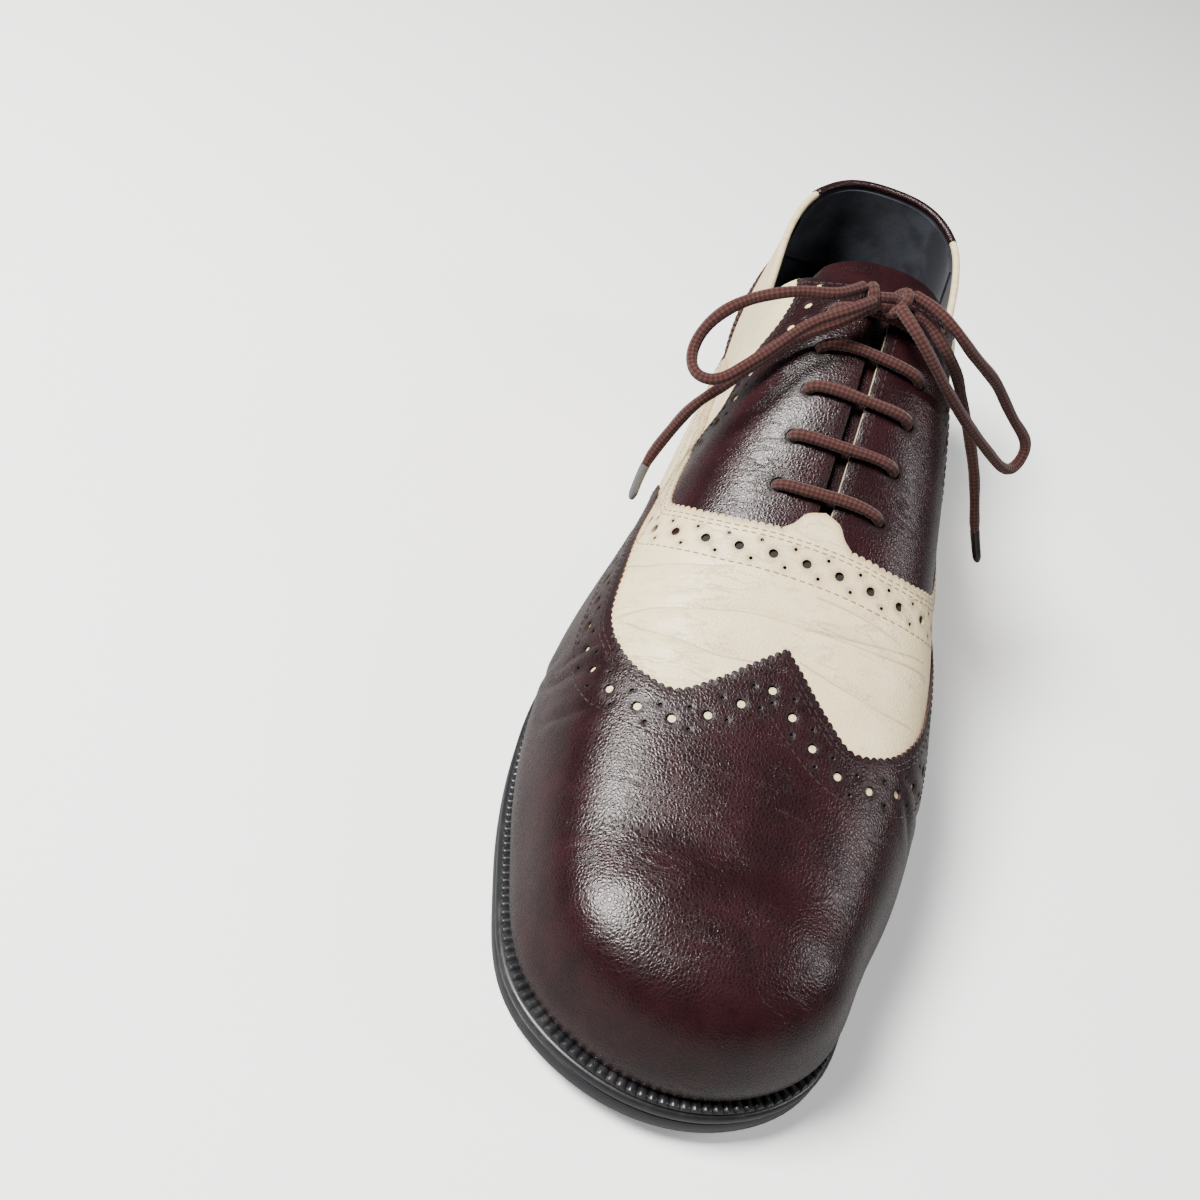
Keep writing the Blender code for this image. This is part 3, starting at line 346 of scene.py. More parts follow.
# %% [markdown]
# ## Creases
# Leather folds where the foot bends, so a worn shoe has long shallow troughs over the ball, each
# with a soft ridge beside it.  They are listed on the flat pattern and pressed into the
# last itself, so every layer above follows them, and the finer wrinkles are left to the shaders.
# %% Creases pressed into the last
# depth and half width in mm, then (station, up) points; past the ridge up is more than 1
CREASES = [
    (.55, 1.2, [(9.37, .62), (9.34, .70), (9.29, .83), (9.22, .925), (9.20, 1.0), (9.19, 1.065),
                (9.15, 1.165), (8.91, 1.37)]),
    (.35, 1.0, [(9.47, .66), (9.55, .71), (9.62, .805), (9.69, .89), (9.66, .95)]),
    (.40, 1.1, [(9.20, 1.02), (9.14, 1.095), (9.05, 1.19), (8.82, 1.35)]),
    (.42, 1.1, [(9.52, 1.03), (9.55, 1.06), (9.59, 1.12), (9.60, 1.215), (9.52, 1.33)]),
    (.26, 1.0, [(8.70, .57), (8.84, .66), (8.87, .79), (8.84, .86)]),
    (.28, 1.0, [(8.89, 1.03), (8.89, 1.09), (8.90, 1.16), (8.91, 1.24)]),
    (.60, 1.5, [(9.25, .25), (9.58, .34), (9.80, .48), (9.88, .60), (9.88, .69)]),
    (.45, 1.3, [(9.40, .34), (9.62, .48), (9.64, .59), (9.62, .66)]),
    (.50, 1.5, [(9.95, .33), (10.26, .44), (10.42, .60), (10.40, .70)]),
    (.50, 1.5, [(9.85, 1.30), (9.97, 1.36), (9.95, 1.46), (9.66, 1.64)]),
    (.42, 1.4, [(10.15, 1.32), (10.20, 1.36), (10.36, 1.44), (10.43, 1.55)]),
    (.40, 1.6, [(9.00, .12), (9.25, .30), (9.35, .42)]),
    (.35, 1.6, [(6.20, .52), (6.60, .40), (6.75, .25)]),
]


def smooth_rows(table, count, scale=(20, 75)):
    """Rows of (station, up) evenly along a table's smooth line; scale is about the size of each in mm."""
    rows = np.array(table, float)
    way = way_along(rows * np.array(scale))
    return steady(way, rows, np.linspace(0, way[-1], count))


def crown_line(table):
    """Smooth flat line through (station, up) points of the outer side; up past 1 is the inner side."""
    fine = smooth_rows(table, 60, (20, 70))
    folded = fine[:, 1] > 1
    stations = np.where(folded, ROUND - fine[:, 0], fine[:, 0])
    return to_crown(stations, np.where(folded, 2 - fine[:, 1], fine[:, 1]))


def skin_normals(skin):
    along = np.roll(skin, -1, 0) - np.roll(skin, 1, 0)
    rise = np.gradient(skin, axis=1)
    normals = np.cross(rise, along)
    size = np.linalg.norm(normals, axis=2)
    normals[size < 1e-10] = (0, 0, 1)
    normals[:, -1] = normals[:, -2]
    normals /= np.linalg.norm(normals, axis=2)[..., None]
    return normals if (normals * (skin - skin.mean((0, 1)))).sum() > 0 else -normals


SMOOTH_NORMALS = skin_normals(SKIN)
crease_lines = [(depth, width, crown_line(rows)) for depth, width, rows in CREASES]
FOLDS = np.zeros(SKIN.shape[:2])
for depth, width, line in crease_lines:
    s, u = from_crown(line)
    path = read(SKIN, s * FINE, u * (len(FINE_UPS) - 1)) * 1000
    fade = np.sin(np.linspace(0, pi, len(path))) ** .6
    near = np.linalg.norm(SKIN * 1000 - path.mean(0), axis=2) < 75
    gap = np.linalg.norm(SKIN[near][:, None] * 1000 - path[None], axis=2)
    closest = gap.argmin(1)
    gap = gap.min(1)
    trough = np.exp(-(gap / width) ** 2) - .38 * np.exp(-((gap - width * 2.4) / (width * 1.3)) ** 2)
    FOLDS[near] -= trough * depth * fade[closest] / 1000
SKIN = SKIN + SMOOTH_NORMALS * FOLDS[..., None]
NORMALS = skin_normals(SKIN)
print("creases:", len(CREASES), "deepest %.2f mm" % (FOLDS.min() * -1000))


def on_last(stations, ups, lift=0.0):
    """Points at a height over the last, in metres, and the normals there."""
    rows, columns = np.asarray(stations, float) * FINE, np.asarray(ups, float) * (len(FINE_UPS) - 1)
    spots, normals = read(SKIN, rows, columns), read(NORMALS, rows, columns)
    normals /= np.linalg.norm(normals, axis=1)[:, None]
    return spots + normals * np.reshape(lift, (-1, 1)), normals

# %% [markdown]
# ## Finishes
# Each effect that several leathers share is a node group with named inputs: pebble grain, fine
# wrinkles, mottling and dirt.  A group gives only masks and heights; the shader that uses them
# stays in each material.  The patterns read the flat pattern's own coordinates (the UV map, one
# unit for a centimetre), so the grain follows the leather round the last.
# %% Shared effects
def new_group(name, inputs, outputs):
    tree = bpy.data.node_groups.new(name, "ShaderNodeTree")
    for label, kind, value in inputs:
        socket = tree.interface.new_socket(label, in_out="INPUT", socket_type=kind)
        if value is not None:
            socket.default_value = value
    for label, kind in outputs:
        tree.interface.new_socket(label, in_out="OUTPUT", socket_type=kind)
    return tree, tree.nodes.new("NodeGroupInput"), tree.nodes.new("NodeGroupOutput")


def node(tree, kind, settings=None, **inputs):
    """A node with its properties and its inputs, which are values or other nodes' outputs."""
    made = tree.nodes.new(kind)
    for key, value in (settings or {}).items():
        setattr(made, key, value)
    for key, value in inputs.items():
        socket = made.inputs[int(key[1:])] if key[0] == "_" else made.inputs[key.replace("_", " ")]
        if isinstance(value, bpy.types.NodeSocket):
            tree.links.new(value, socket)
        else:
            socket.default_value = value
    return made


def sums(tree, operation, a, b=0.0, c=0.0):
    return node(tree, "ShaderNodeMath", {"operation": operation}, _0=a, _1=b, _2=c).outputs[0]


def times(tree, a, b):
    return sums(tree, "MULTIPLY", a, b)


def ramp(tree, value, low, high):
    """0 below low, 1 above high, soft between."""
    return node(tree, "ShaderNodeMapRange", {"interpolation_type": "SMOOTHSTEP"},
                Value=value, From_Min=low, From_Max=high).outputs[0]


def noise(tree, place, scale, detail, **more):
    """Height of a noise texture at a place."""
    return node(tree, "ShaderNodeTexNoise", {}, Vector=place, Scale=scale, Detail=detail, **more).outputs[0]


def mixed(tree, share, a, b):
    """Colour a where share is 0 and b where it is 1; a colour may be three numbers."""
    a, b = ((*colour, 1) if isinstance(colour, tuple) else colour for colour in (a, b))
    return node(tree, "ShaderNodeMix", {"data_type": "RGBA"}, _0=share, _6=a, _7=b).outputs[2]


VECTOR, FLOAT = "NodeSocketVector", "NodeSocketFloat"
grain, into, out = new_group("pebble grain", [("Place", VECTOR, None), ("Scale", FLOAT, 16.0)],
                             [("Height", FLOAT), ("Valley", FLOAT)])
bent = node(grain, "ShaderNodeTexNoise", {}, Vector=into.outputs[0], Scale=9.0, Detail=2.0)
shifted = node(grain, "ShaderNodeVectorMath", {"operation": "MULTIPLY_ADD"}, _0=bent.outputs["Color"],
               _1=(.05, .05, .05), _2=into.outputs[0]).outputs[0]
cells = node(grain, "ShaderNodeTexVoronoi", {"feature": "DISTANCE_TO_EDGE"}, Vector=shifted,
             Scale=into.outputs[1], Randomness=.95)
pebbles = ramp(grain, cells.outputs["Distance"], 0.0, .32)
fine_cells = node(grain, "ShaderNodeTexVoronoi", {"feature": "DISTANCE_TO_EDGE"}, Vector=shifted,
                  Scale=times(grain, into.outputs[1], 2.6))
small = ramp(grain, fine_cells.outputs["Distance"], 0.0, .35)
grain.links.new(sums(grain, "MULTIPLY_ADD", small, .14, times(grain, pebbles, .86)), out.inputs[0])
grain.links.new(sums(grain, "SUBTRACT", 1.0, pebbles), out.inputs[1])

wrinkles, into, out = new_group("fine wrinkles", [("Place", VECTOR, None), ("Along", FLOAT, 1.0),
                                                  ("Across", FLOAT, .25)],
                                [("Height", FLOAT), ("Mask", FLOAT)])
stretch = node(wrinkles, "ShaderNodeCombineXYZ", {}, X=into.outputs[1], Y=into.outputs[2], Z=1.0)
drawn = node(wrinkles, "ShaderNodeVectorMath", {"operation": "MULTIPLY"}, _0=into.outputs[0],
             _1=stretch.outputs[0]).outputs[0]
waves = noise(wrinkles, drawn, 2.2, 5.0, Roughness=.6, Distortion=.6)
line_mask = sums(wrinkles, "ABSOLUTE", sums(wrinkles, "SUBTRACT", waves, .5))
line_mask = sums(wrinkles, "SUBTRACT", 1.0, ramp(wrinkles, line_mask, 0.0, .030))
patches = noise(wrinkles, into.outputs[0], .7, 2.0)
line_mask = times(wrinkles, line_mask, ramp(wrinkles, patches, .42, .62))
wrinkles.links.new(times(wrinkles, line_mask, -1.0), out.inputs[0])
wrinkles.links.new(line_mask, out.inputs[1])

soil, into, out = new_group("dirt and mottling", [("Place", VECTOR, None)],
                            [("Mottle", FLOAT), ("Specks", FLOAT), ("Smudge", FLOAT)])
specks = node(soil, "ShaderNodeTexVoronoi", {}, Vector=into.outputs[0], Scale=4.3)
dots = sums(soil, "SUBTRACT", 1.0, ramp(soil, specks.outputs["Distance"], .028, .050))
chosen = node(soil, "ShaderNodeSeparateColor", {}, Color=specks.outputs["Color"]).outputs[0]
smudge = noise(soil, into.outputs[0], 3.2, 5.0, Roughness=.65)
soil.links.new(noise(soil, into.outputs[0], .9, 4.0, Roughness=.6), out.inputs[0])
soil.links.new(times(soil, dots, ramp(soil, chosen, .80, .86)), out.inputs[1])
soil.links.new(ramp(soil, smudge, .55, .80), out.inputs[2])
print("effects:", [g.name for g in bpy.data.node_groups])


# %% A material with its shader
def finish(name, **values):
    """A material, its node tree and its shader, whose inputs take the values."""
    mat = bpy.data.materials.new(name)
    mat.use_nodes = True
    shader = mat.node_tree.nodes["Principled BSDF"]
    for key, value in values.items():
        shader.inputs[key.replace("_", " ")].default_value = value
    return mat, mat.node_tree, shader


def effect(tree, group, **inputs):
    return node(tree, "ShaderNodeGroup", {"node_tree": group}, **inputs).outputs


def bump(tree, height, strength, distance, **below):
    """Normal of a surface with this height, over another normal if one is given."""
    made = node(tree, "ShaderNodeBump", {}, Height=height, Strength=strength, Distance=distance, **below)
    return made.outputs[0]


def wire(tree, shader, **sockets):
    """Links to the shader's inputs."""
    for key, value in sockets.items():
        tree.links.new(value, shader.inputs[key.replace("_", " ")])


def pattern_place(tree):
    return node(tree, "ShaderNodeUVMap", {"uv_map": "pattern"}).outputs[0]


def object_place(tree):
    return node(tree, "ShaderNodeTexCoord").outputs["Object"]


# %% [markdown]
# ## Leather
# The dark leather is aniline calf: nearly black red, glossy, with a fine crinkled grain that
# breaks the highlights.  The cream leather is softer and duller.  Both are painted darker in their
# creases and wrinkles, along their edges and round their holes: partly dirt and partly painted shade.
# The attributes fold and rim mark these places on each panel.
# %% Leather finishes
def leather(name, colour, shade, edge_dirt_and_shade, rough, coat, grain_scale, grain_depth, wrinkle_depth,
            dirt, dirt_and_shade_colour, speck_colour, ior=1.40):
    """Grained leather; colours are for the hide, its darker patches, its darkened edges, its creases and
    wrinkles (both partly dirt and partly painted shade) and specks.
    """
    mat, tree, shader = finish(name, IOR=ior, Coat_Weight=coat, Coat_Roughness=.16)
    place = pattern_place(tree)
    grains = effect(tree, grain, Place=place, Scale=grain_scale)
    lines = effect(tree, wrinkles, Place=place, Along=1.5, Across=.35)
    marks = effect(tree, soil, Place=place)
    edge, fold = (node(tree, "ShaderNodeAttribute", {"attribute_name": label}).outputs["Fac"]
                  for label in ("rim", "fold"))
    # Crease lines and fine wrinkle lines are darkened towards the dirt colour: partly dirt and partly painted
    # shade in their troughs; the pores take dirt alone.
    crease_dirt_and_shade = times(tree, ramp(tree, fold, .35, 1.0), min(dirt * 1.9, .8))
    pores = times(tree, grains["Valley"], times(tree, marks["Smudge"], dirt * .5))
    dirt_and_shade_mask = sums(tree, "MAXIMUM", times(tree, lines["Mask"], dirt), crease_dirt_and_shade)
    dirt_and_shade_mask = sums(tree, "MAXIMUM", dirt_and_shade_mask, pores)
    tone = mixed(tree, ramp(tree, marks["Mottle"], .35, .65), colour, shade)
    tone = mixed(tree, dirt_and_shade_mask, tone, dirt_and_shade_colour)
    # Edges and the rims of holes are darkened: partly edge dirt and partly painted shade along them.
    tone = mixed(tree, times(tree, edge, .8), tone, edge_dirt_and_shade)
    tone = mixed(tree, times(tree, marks["Specks"], .6), tone, speck_colour)
    gloss = sums(tree, "MULTIPLY_ADD", marks["Smudge"], .10, rough)
    gloss = sums(tree, "MULTIPLY_ADD", grains["Valley"], .12, gloss)
    gloss = sums(tree, "MULTIPLY_ADD", edge, .15, gloss)
    normal = bump(tree, lines["Height"], wrinkle_depth, .00025)
    normal = bump(tree, grains["Height"], grain_depth, .00012, Normal=normal)
    wire(tree, shader, Base_Color=tone, Roughness=gloss, Normal=normal)
    return mat


# Fourth colour: the darkened edges; eleventh: the colour of creases and wrinkles; both partly dirt and partly
# painted shade.
BROWN = leather("burgundy leather", (.017, .0042, .0056), (.010, .0026, .0036), (.008, .002, .003), .21, .0,
                11.5, .36, .25, .35, (.005, .002, .002), (.10, .07, .06), 1.38)
CREAM = leather("cream leather", (.74, .61, .37), (.69, .56, .33), (.37, .27, .15), .34, .10,
                9.0, .48, .40, .50, (.42, .31, .18), (.34, .25, .15))


def cut_edge(name, colour, other):
    """The raw edge of a panel: open fibres, dull and rough.  Its fibres also serve the painted shade under
    the holes.
    """
    mat, tree, shader = finish(name, Roughness=.85)
    fibres = noise(tree, object_place(tree), 2500.0, 3.0)
    wire(tree, shader, Base_Color=mixed(tree, fibres, colour, other), Normal=bump(tree, fibres, .5, .0001))
    return mat


BROWN_EDGE = cut_edge("burgundy cut edge", (.030, .012, .010), (.060, .026, .020))
CREAM_EDGE = cut_edge("cream cut edge", (.36, .26, .15), (.56, .45, .29))


# %% Lining, rubber, thread and cotton
def suede(name, colour, light, scale):
    """Brushed nap, with lighter patches where it lies the other way."""
    mat, tree, shader = finish(name, Sheen_Weight=.10, Sheen_Roughness=.4, Specular_IOR_Level=.3)
    place = object_place(tree)
    nap = noise(tree, place, scale, 4.0, Roughness=.7)
    brushed = ramp(tree, noise(tree, place, 70.0, 3.0, Roughness=.6), .38, .66)
    wire(tree, shader, Base_Color=mixed(tree, brushed, colour, light),
         Roughness=sums(tree, "MULTIPLY_ADD", nap, .2, .72), Normal=bump(tree, nap, .5, .0002))
    return mat


def rubber(name, colour, dusty, rough, scuff):
    """Black rubber that is duller and dustier where it is worn."""
    mat, tree, shader = finish(name, IOR=1.5)
    place = object_place(tree)
    fine = noise(tree, place, 900.0, 3.0)
    wear = ramp(tree, noise(tree, place, 110.0, 6.0, Roughness=.7), .50, .78)
    wire(tree, shader, Base_Color=mixed(tree, times(tree, wear, scuff), colour, dusty),
         Roughness=sums(tree, "MULTIPLY_ADD", wear, .25, rough), Normal=bump(tree, fine, .25, .00008))
    return mat


def yarn(name, colour, light, turns, plies, depth, rough=.85):
    """Twisted or braided thread: slanting plies over the thread's own map of length and way round; the plies'
    crests are painted lighter and their grooves darker, as painted shade.
    """
    mat, tree, shader = finish(name, Sheen_Weight=.12, Sheen_Roughness=.5, Specular_IOR_Level=.25,
                               Roughness=rough)
    spot = node(tree, "ShaderNodeSeparateXYZ", {}, Vector=pattern_place(tree)).outputs
    along, about = times(tree, spot[0], turns), times(tree, spot[1], plies)
    left, other = (sums(tree, "SINE", times(tree, sums(tree, way, along, about), 2 * pi))
                   for way in ("ADD", "SUBTRACT"))
    fuzz = noise(tree, object_place(tree), 1600.0, 4.0, Roughness=.8)
    height = sums(tree, "MULTIPLY_ADD", fuzz, .8, times(tree, times(tree, left, other), .5))
    # Painted shade: the colour follows the plies' height, lighter on the crests and darker in the grooves
    # between them, with the fuzz's random tone.
    wire(tree, shader, Base_Color=mixed(tree, ramp(tree, height, .05, .95), colour, light),
         Normal=bump(tree, height, .9, depth))
    return mat


LINING = suede("black lining", (.005, .0055, .009), (.014, .016, .023), 900.0)
SUEDE = suede("heel grip suede", (.008, .009, .014), (.024, .027, .036), 1400.0)
WELT_RUBBER = rubber("welt rubber", (.010, .010, .012), (.055, .050, .045), .34, .35)
SOLE_RUBBER = rubber("sole rubber", (.009, .010, .013), (.045, .045, .048), .38, .45)
COTTON = yarn("brown cotton", (.020, .0050, .0042), (.070, .019, .015), 1.25, 4.0, .00016)
DARK_THREAD = yarn("burgundy thread", (.008, .0025, .003), (.022, .007, .008), 1.0, 1.0, .00006, .6)
CREAM_THREAD = yarn("cream thread", (.20, .13, .065), (.36, .26, .14), 1.0, 1.0, .00006, .7)
AGLET_FILM = finish("aglet film", Base_Color=(.012, .008, .008, 1), Roughness=.22)[0]
# The outer aglet's film is paler and greyer than the inner's.
PALE_FILM = finish("pale aglet film", Base_Color=(.085, .090, .092, 1), Roughness=.25)[0]
# Painted shade: dark discs under the band's holes and the eyelets, and rings inside the wing cap's holes,
# stand in for the shade in them.
HOLE_SHADE = cut_edge("painted shade under the holes", (.012, .009, .006), (.004, .003, .002))
print("materials:", len(bpy.data.materials))


# %% [markdown]
# ## The lace
# The cords come first among the pieces, because their length and place are tested.  A lace is a
# tube swept along its path.  Its bars come up through an eyelet, cross the slit and go down again;
# the bow has a knot of two wraps, two loops and two ends with their tips.
# %% A cord from a path
PATH_STEP = .0006


def smooth_path(route, spacing=PATH_STEP):
    """Evenly spaced points on the smooth curve through a route's points."""
    spots = np.array(route, float)
    way = way_along(spots)
    fine = spline(way, spots, np.linspace(0, way[-1], 600))
    way = way_along(fine)
    count = max(int(round(way[-1] / spacing)), 3)
    return at_ways(np.linspace(0, way[-1], count + 1), way, fine)


def new_piece(name, points, faces, look, maps=None, marks=None, sharp=40):
    """A mesh piece with its materials and the body it rides on; maps holds a UV for each point."""
    mesh = bpy.data.meshes.new(name)
    mesh.from_pydata([tuple(p) for p in points], [], [tuple(f) for f in faces])
    if maps is not None:
        layer = mesh.uv_layers.new(name="pattern")
        corners = np.zeros(len(mesh.loops), int)
        mesh.loops.foreach_get("vertex_index", corners)
        layer.data.foreach_set("uv", np.asarray(maps, float)[corners].ravel())
    for label, values in (marks or {}).items():
        mesh.attributes.new(label, "FLOAT", "POINT").data.foreach_set("value", np.asarray(values, float))
    mesh.shade_smooth()
    mesh.set_sharp_from_angle(angle=radians(sharp))
    piece = bpy.data.objects.new(name, mesh)
    scene.collection.objects.link(piece)
    for part in look if isinstance(look, list) else [look]:
        mesh.materials.append(part)
    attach(piece, "root")
    return piece


def tube(path, radius, sides=14):
    """Points, faces and map of a tube round a path, with rounded ends."""
    path = np.asarray(path, float)
    ahead = np.gradient(path, axis=0)
    ahead /= np.linalg.norm(ahead, axis=1)[:, None]
    way = way_along(path)
    radii = np.broadcast_to(np.asarray(radius, float), (len(path),))
    spots = np.vstack([path[0] - ahead[0] * radii[0] * .5, path, path[-1] + ahead[-1] * radii[-1] * .5])
    reach = np.concatenate([[radii[0] * .55], radii, [radii[-1] * .55]])
    ahead = np.vstack([ahead[0], ahead, ahead[-1]])
    side = np.cross(ahead[0], (0, 0, 1))
    turns = np.arange(sides + 1) * 2 * pi / sides
    points = []
    for spot, r, tangent in zip(spots, reach, ahead):
        side = side - tangent * (side @ tangent)
        side /= np.linalg.norm(side)
        other = np.cross(tangent, side)
        points.append(spot + (np.outer(np.cos(turns), side) + np.outer(np.sin(turns), other)) * r)
    wide, rings = sides + 1, len(spots)
    faces = [(a * wide + k, a * wide + k + 1, (a + 1) * wide + k + 1, (a + 1) * wide + k)
             for a in range(rings - 1) for k in range(sides)]
    faces += [tuple(range(sides - 1, -1, -1)), tuple((rings - 1) * wide + k for k in range(sides))]
    ways = np.concatenate([[way[0]], way, [way[-1]]]) / (2 * radii.mean())
    maps = np.stack([np.repeat(ways, wide), np.tile(turns / (2 * pi), rings)], axis=1)
    return np.vstack(points), faces, maps


def edited(piece, change):
    """A piece after a change to its mesh."""
    bm = bmesh.new()
    bm.from_mesh(piece.data)
    change(bm)
    bm.to_mesh(piece.data)
    bm.free()
    return piece


def weld(piece):
    """Doubles along a tube's own seam are merged; its map stays, because each corner keeps its own."""
    return edited(piece, lambda bm: bmesh.ops.remove_doubles(bm, verts=bm.verts, dist=1e-6))


def joined(parts):
    """Several (points, faces, maps) as one."""
    faces, count = [], 0
    for points, own, _ in parts:
        faces += [tuple(v + count for v in face) for face in own]
        count += len(points)
    return np.vstack([part[0] for part in parts]), faces, np.vstack([part[2] for part in parts])


# %% Routes of the bow
# millimetres in the last's own frame, as the solids have them
LOOP_OUTER = [(-8.8, 15.0, 126.0), (-15.8, 8.6, 124.8), (-21.5, 6.7, 124.2), (-28.0, 4.5, 122.5),
              (-34.0, 3.5, 119.0), (-40.4, -0.7, 114.0), (-43.3, -3.9, 108.0), (-43.2, -7.6, 104.5),
              (-40.3, -11.7, 103.0), (-36.2, -12.3, 103.5), (-31.2, -9.9, 107.0), (-24.5, -3.7, 113.0),
              (-17.8, 2.8, 118.8), (-11.7, 5.8, 122.6), (-5.5, 11.7, 124.8)]
END_OUTER = [(-6.2, 13.2, 120.9), (-11.6, 9.0, 117.6), (-19.4, 6.9, 111.5), (-27.7, 1.6, 103.0),
             (-33.1, -0.3, 95.0), (-38.1, -1.6, 88.0), (-42.2, -2.1, 77.5), (-45.5, -4.0, 66.0),
             (-46.3, -8.4, 56.0)]
LOOP_INNER = [(4.3, 18.6, 126.5), (9.2, 16.6, 126.3), (15.8, 13.6, 124.5), (23.4, 14.6, 119.0),
              (33.0, 19.8, 111.0), (45.4, 25.3, 98.0), (51.1, 25.9, 91.0), (50.4, 23.4, 87.0),
              (41.5, 16.6, 91.5), (29.0, 11.0, 102.5), (18.5, 6.9, 113.0), (11.0, 6.7, 120.0),
              (7.1, 7.9, 122.8), (2.0, 12.9, 124.7)]
END_INNER = [(4.4, 16.6, 121.9), (9.3, 17.8, 121.4), (15.4, 15.2, 118.4), (21.7, 16.4, 112.0),
             (27.7, 20.8, 102.5), (34.7, 23.2, 91.5), (42.7, 22.7, 78.0), (48.9, 21.1, 65.0),
             (54.4, 19.5, 55.0)]
KNOT = np.array((-2.0, 16.5, 123.7))
KNOT_TURN = radians(14.7)
AGLET = 0.0105                                  # metres, as the rest of the lace's sizes


def bow_path(route):
    return smooth_path(np.array(route) / 1000 - MIDDLE_ROW)


def uneven(path, radius, seed):
    """Cotton is never quite even: the radius swells and thins a little on the way."""
    places = np.arange(len(path)) * .11
    return radius * (1 + .045 * np.sin(places + seed) + .03 * np.sin(places * 2.7 + seed * 2))


def lace(name, path, radii):
    """A length of lace that replaces the solid of its name."""
    points, faces, maps = tube(path, radii)
    piece = weld(new_piece(name + "_cord", points, faces, COTTON, maps))
    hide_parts(name)
    print(piece.name, "%.0f mm" % (way_along(path)[-1] * 1000))
    return piece


def cord_path(path):
    return [tuple(p) for p in path[::3]] + [tuple(path[-1])]


# %% Loops and ends
for name, route, seed in (("lace_loop_outer", LOOP_OUTER, 1), ("lace_loop_inner", LOOP_INNER, 2)):
    path = bow_path(route)
    piece = lace(name, path, uneven(path, LACE / 2, seed))
    tuple(path[0])
    way_along(path)[-1]
    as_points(cord_path(path))

TIP_SHAPE = np.array([1.0, 1.0, .97, .96, .95, .94, .93, .90, .62]) * .00135
for name, tip_name, route, film, seed in (("lace_end_outer", "aglet_outer", END_OUTER, PALE_FILM, 3),
                                          ("lace_end_inner", "aglet_inner", END_INNER, AGLET_FILM, 4)):
    path = bow_path(route)
    way = way_along(path)
    free = path[way <= way[-1] - AGLET + PATH_STEP]
    radii = uneven(free, LACE / 2, seed)
    radii[-6:] = np.linspace(radii[-6], .00125, 6)
    piece = lace(name, free, radii)
    tip = path[way >= way[-1] - AGLET]
    tip = at_ways(np.linspace(0, 1, len(TIP_SHAPE)), np.linspace(0, 1, len(tip)), tip)
    points, faces, maps = tube(tip, TIP_SHAPE, sides=16)
    aglet = weld(new_piece(tip_name + "_tip", points, faces, film, maps))
    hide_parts(tip_name)
    tuple(path[0])
    way_along(free)[-1]
    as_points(cord_path(free))

# %% [markdown]
# The knot of a bow is a core of two strands with a wrap of cord near each end; the wraps lean
# towards each other at the bottom.
# %% Knot
knot_turn = Matrix.Rotation(KNOT_TURN, 3, "Z")


def in_knot(rows):
    """Points of the knot's own frame (along it, towards the heel, up; mm) in the shoe's."""
    return np.array([knot_turn @ Vector(row) + Vector(KNOT) for row in rows]) / 1000 - MIDDLE_ROW


knot_parts = []
for middle_a, lean, wide, tall in ((-3.7, -.9, 2.6, 2.5), (3.3, 2.0, 2.7, 2.7)):
    wrap = [(middle_a + lean * sin(t) * .8, -wide * cos(t), tall * sin(t) + .1)
            for t in np.linspace(radians(-30), radians(330), 16)]
    knot_parts.append(tube(smooth_path(in_knot(wrap)), LACE / 2 * .98))
for height, shift in ((1.0, -.6), (-.9, -1.2), (-.2, 1.2)):
    strand = [(a, shift + .3 * sin(a), height + .35 * cos(a * .5)) for a in np.linspace(-5.6, 5.6, 9)]
    knot_parts.append(tube(smooth_path(in_knot(strand)), LACE / 2 * .92))
points, faces, maps = joined(knot_parts)
knot = weld(new_piece("lace_knot_wraps", points, faces, COTTON, maps))
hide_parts("lace_knot")

# %% [markdown]
# Each bar lies on the facings and dives into its two eyelets.  On the flat map an eyelet is a
# point beside the ridge, and the bar's height over the leather follows a short table.
# %% Bars through the eyelets
FIRST_EYELET = .5785
EYELET_PITCH = 0.0110
EYELET_REACH = 13.1                             # mm on the flat map, as in the bar's table
EYELET_RADIUS = 2.1
BAR = [(13.9, -1.6), (13.6, -.4), (12.9, 1.0), (11.9, 1.95), (10.2, 2.40), (7.0, 2.55), (3.5, 2.5), (0, 2.45)]


def ridge_place(at):
    """Flat x where the ridge passes a share of the length."""
    return float(np.interp((at - .5) * LENGTH + MIDDLE.y, -SKIN[STRAIGHT, -1, 1], RIDGE_WAY[STRAIGHT]))


eyelet_places = []
for pair in range(5):
    x = ridge_place(FIRST_EYELET - pair * EYELET_PITCH / LENGTH)
    eyelet_places += [(x, EYELET_REACH), (x, -EYELET_REACH)]
    rows = BAR + [(-reach, lift) for reach, lift in BAR[-2::-1]]
    sway = [.35 * sin(reach * .22 + pair) for reach, _ in rows]
    s, u = from_crown(np.array([(x + shift, reach) for shift, (reach, _) in zip(sway, rows)]))
    path = smooth_path(on_last(s, u, np.array([lift for _, lift in rows]) / 1000)[0])
    lace("lace_bar_%d" % (pair + 1), path, uneven(path, LACE / 2, pair + 5))
print("eyelets:", len(eyelet_places))


# %% [markdown]
# ## Cutting a panel
# A panel starts as an outline on the flat pattern, with its pinked edge, and its punched holes as
# rings.  A net of points fills it and a constrained triangulation joins them, because no single
# operator cuts a curved sheet with a hundred holes as fast.  Then each point takes its place over
# the last, and a Solidify modifier gives the sheet its thickness, with its cut edge as a finish
# of its own.  The outline and the holes are pressed down a little, as a skived edge is.
# %% Lines on the flat pattern
def shoe_way(line, from_flat):
    """Distance along a flat line in mm, as it lies on the shoe."""
    return way_along(on_last(*from_flat(line))[0]) * 1000


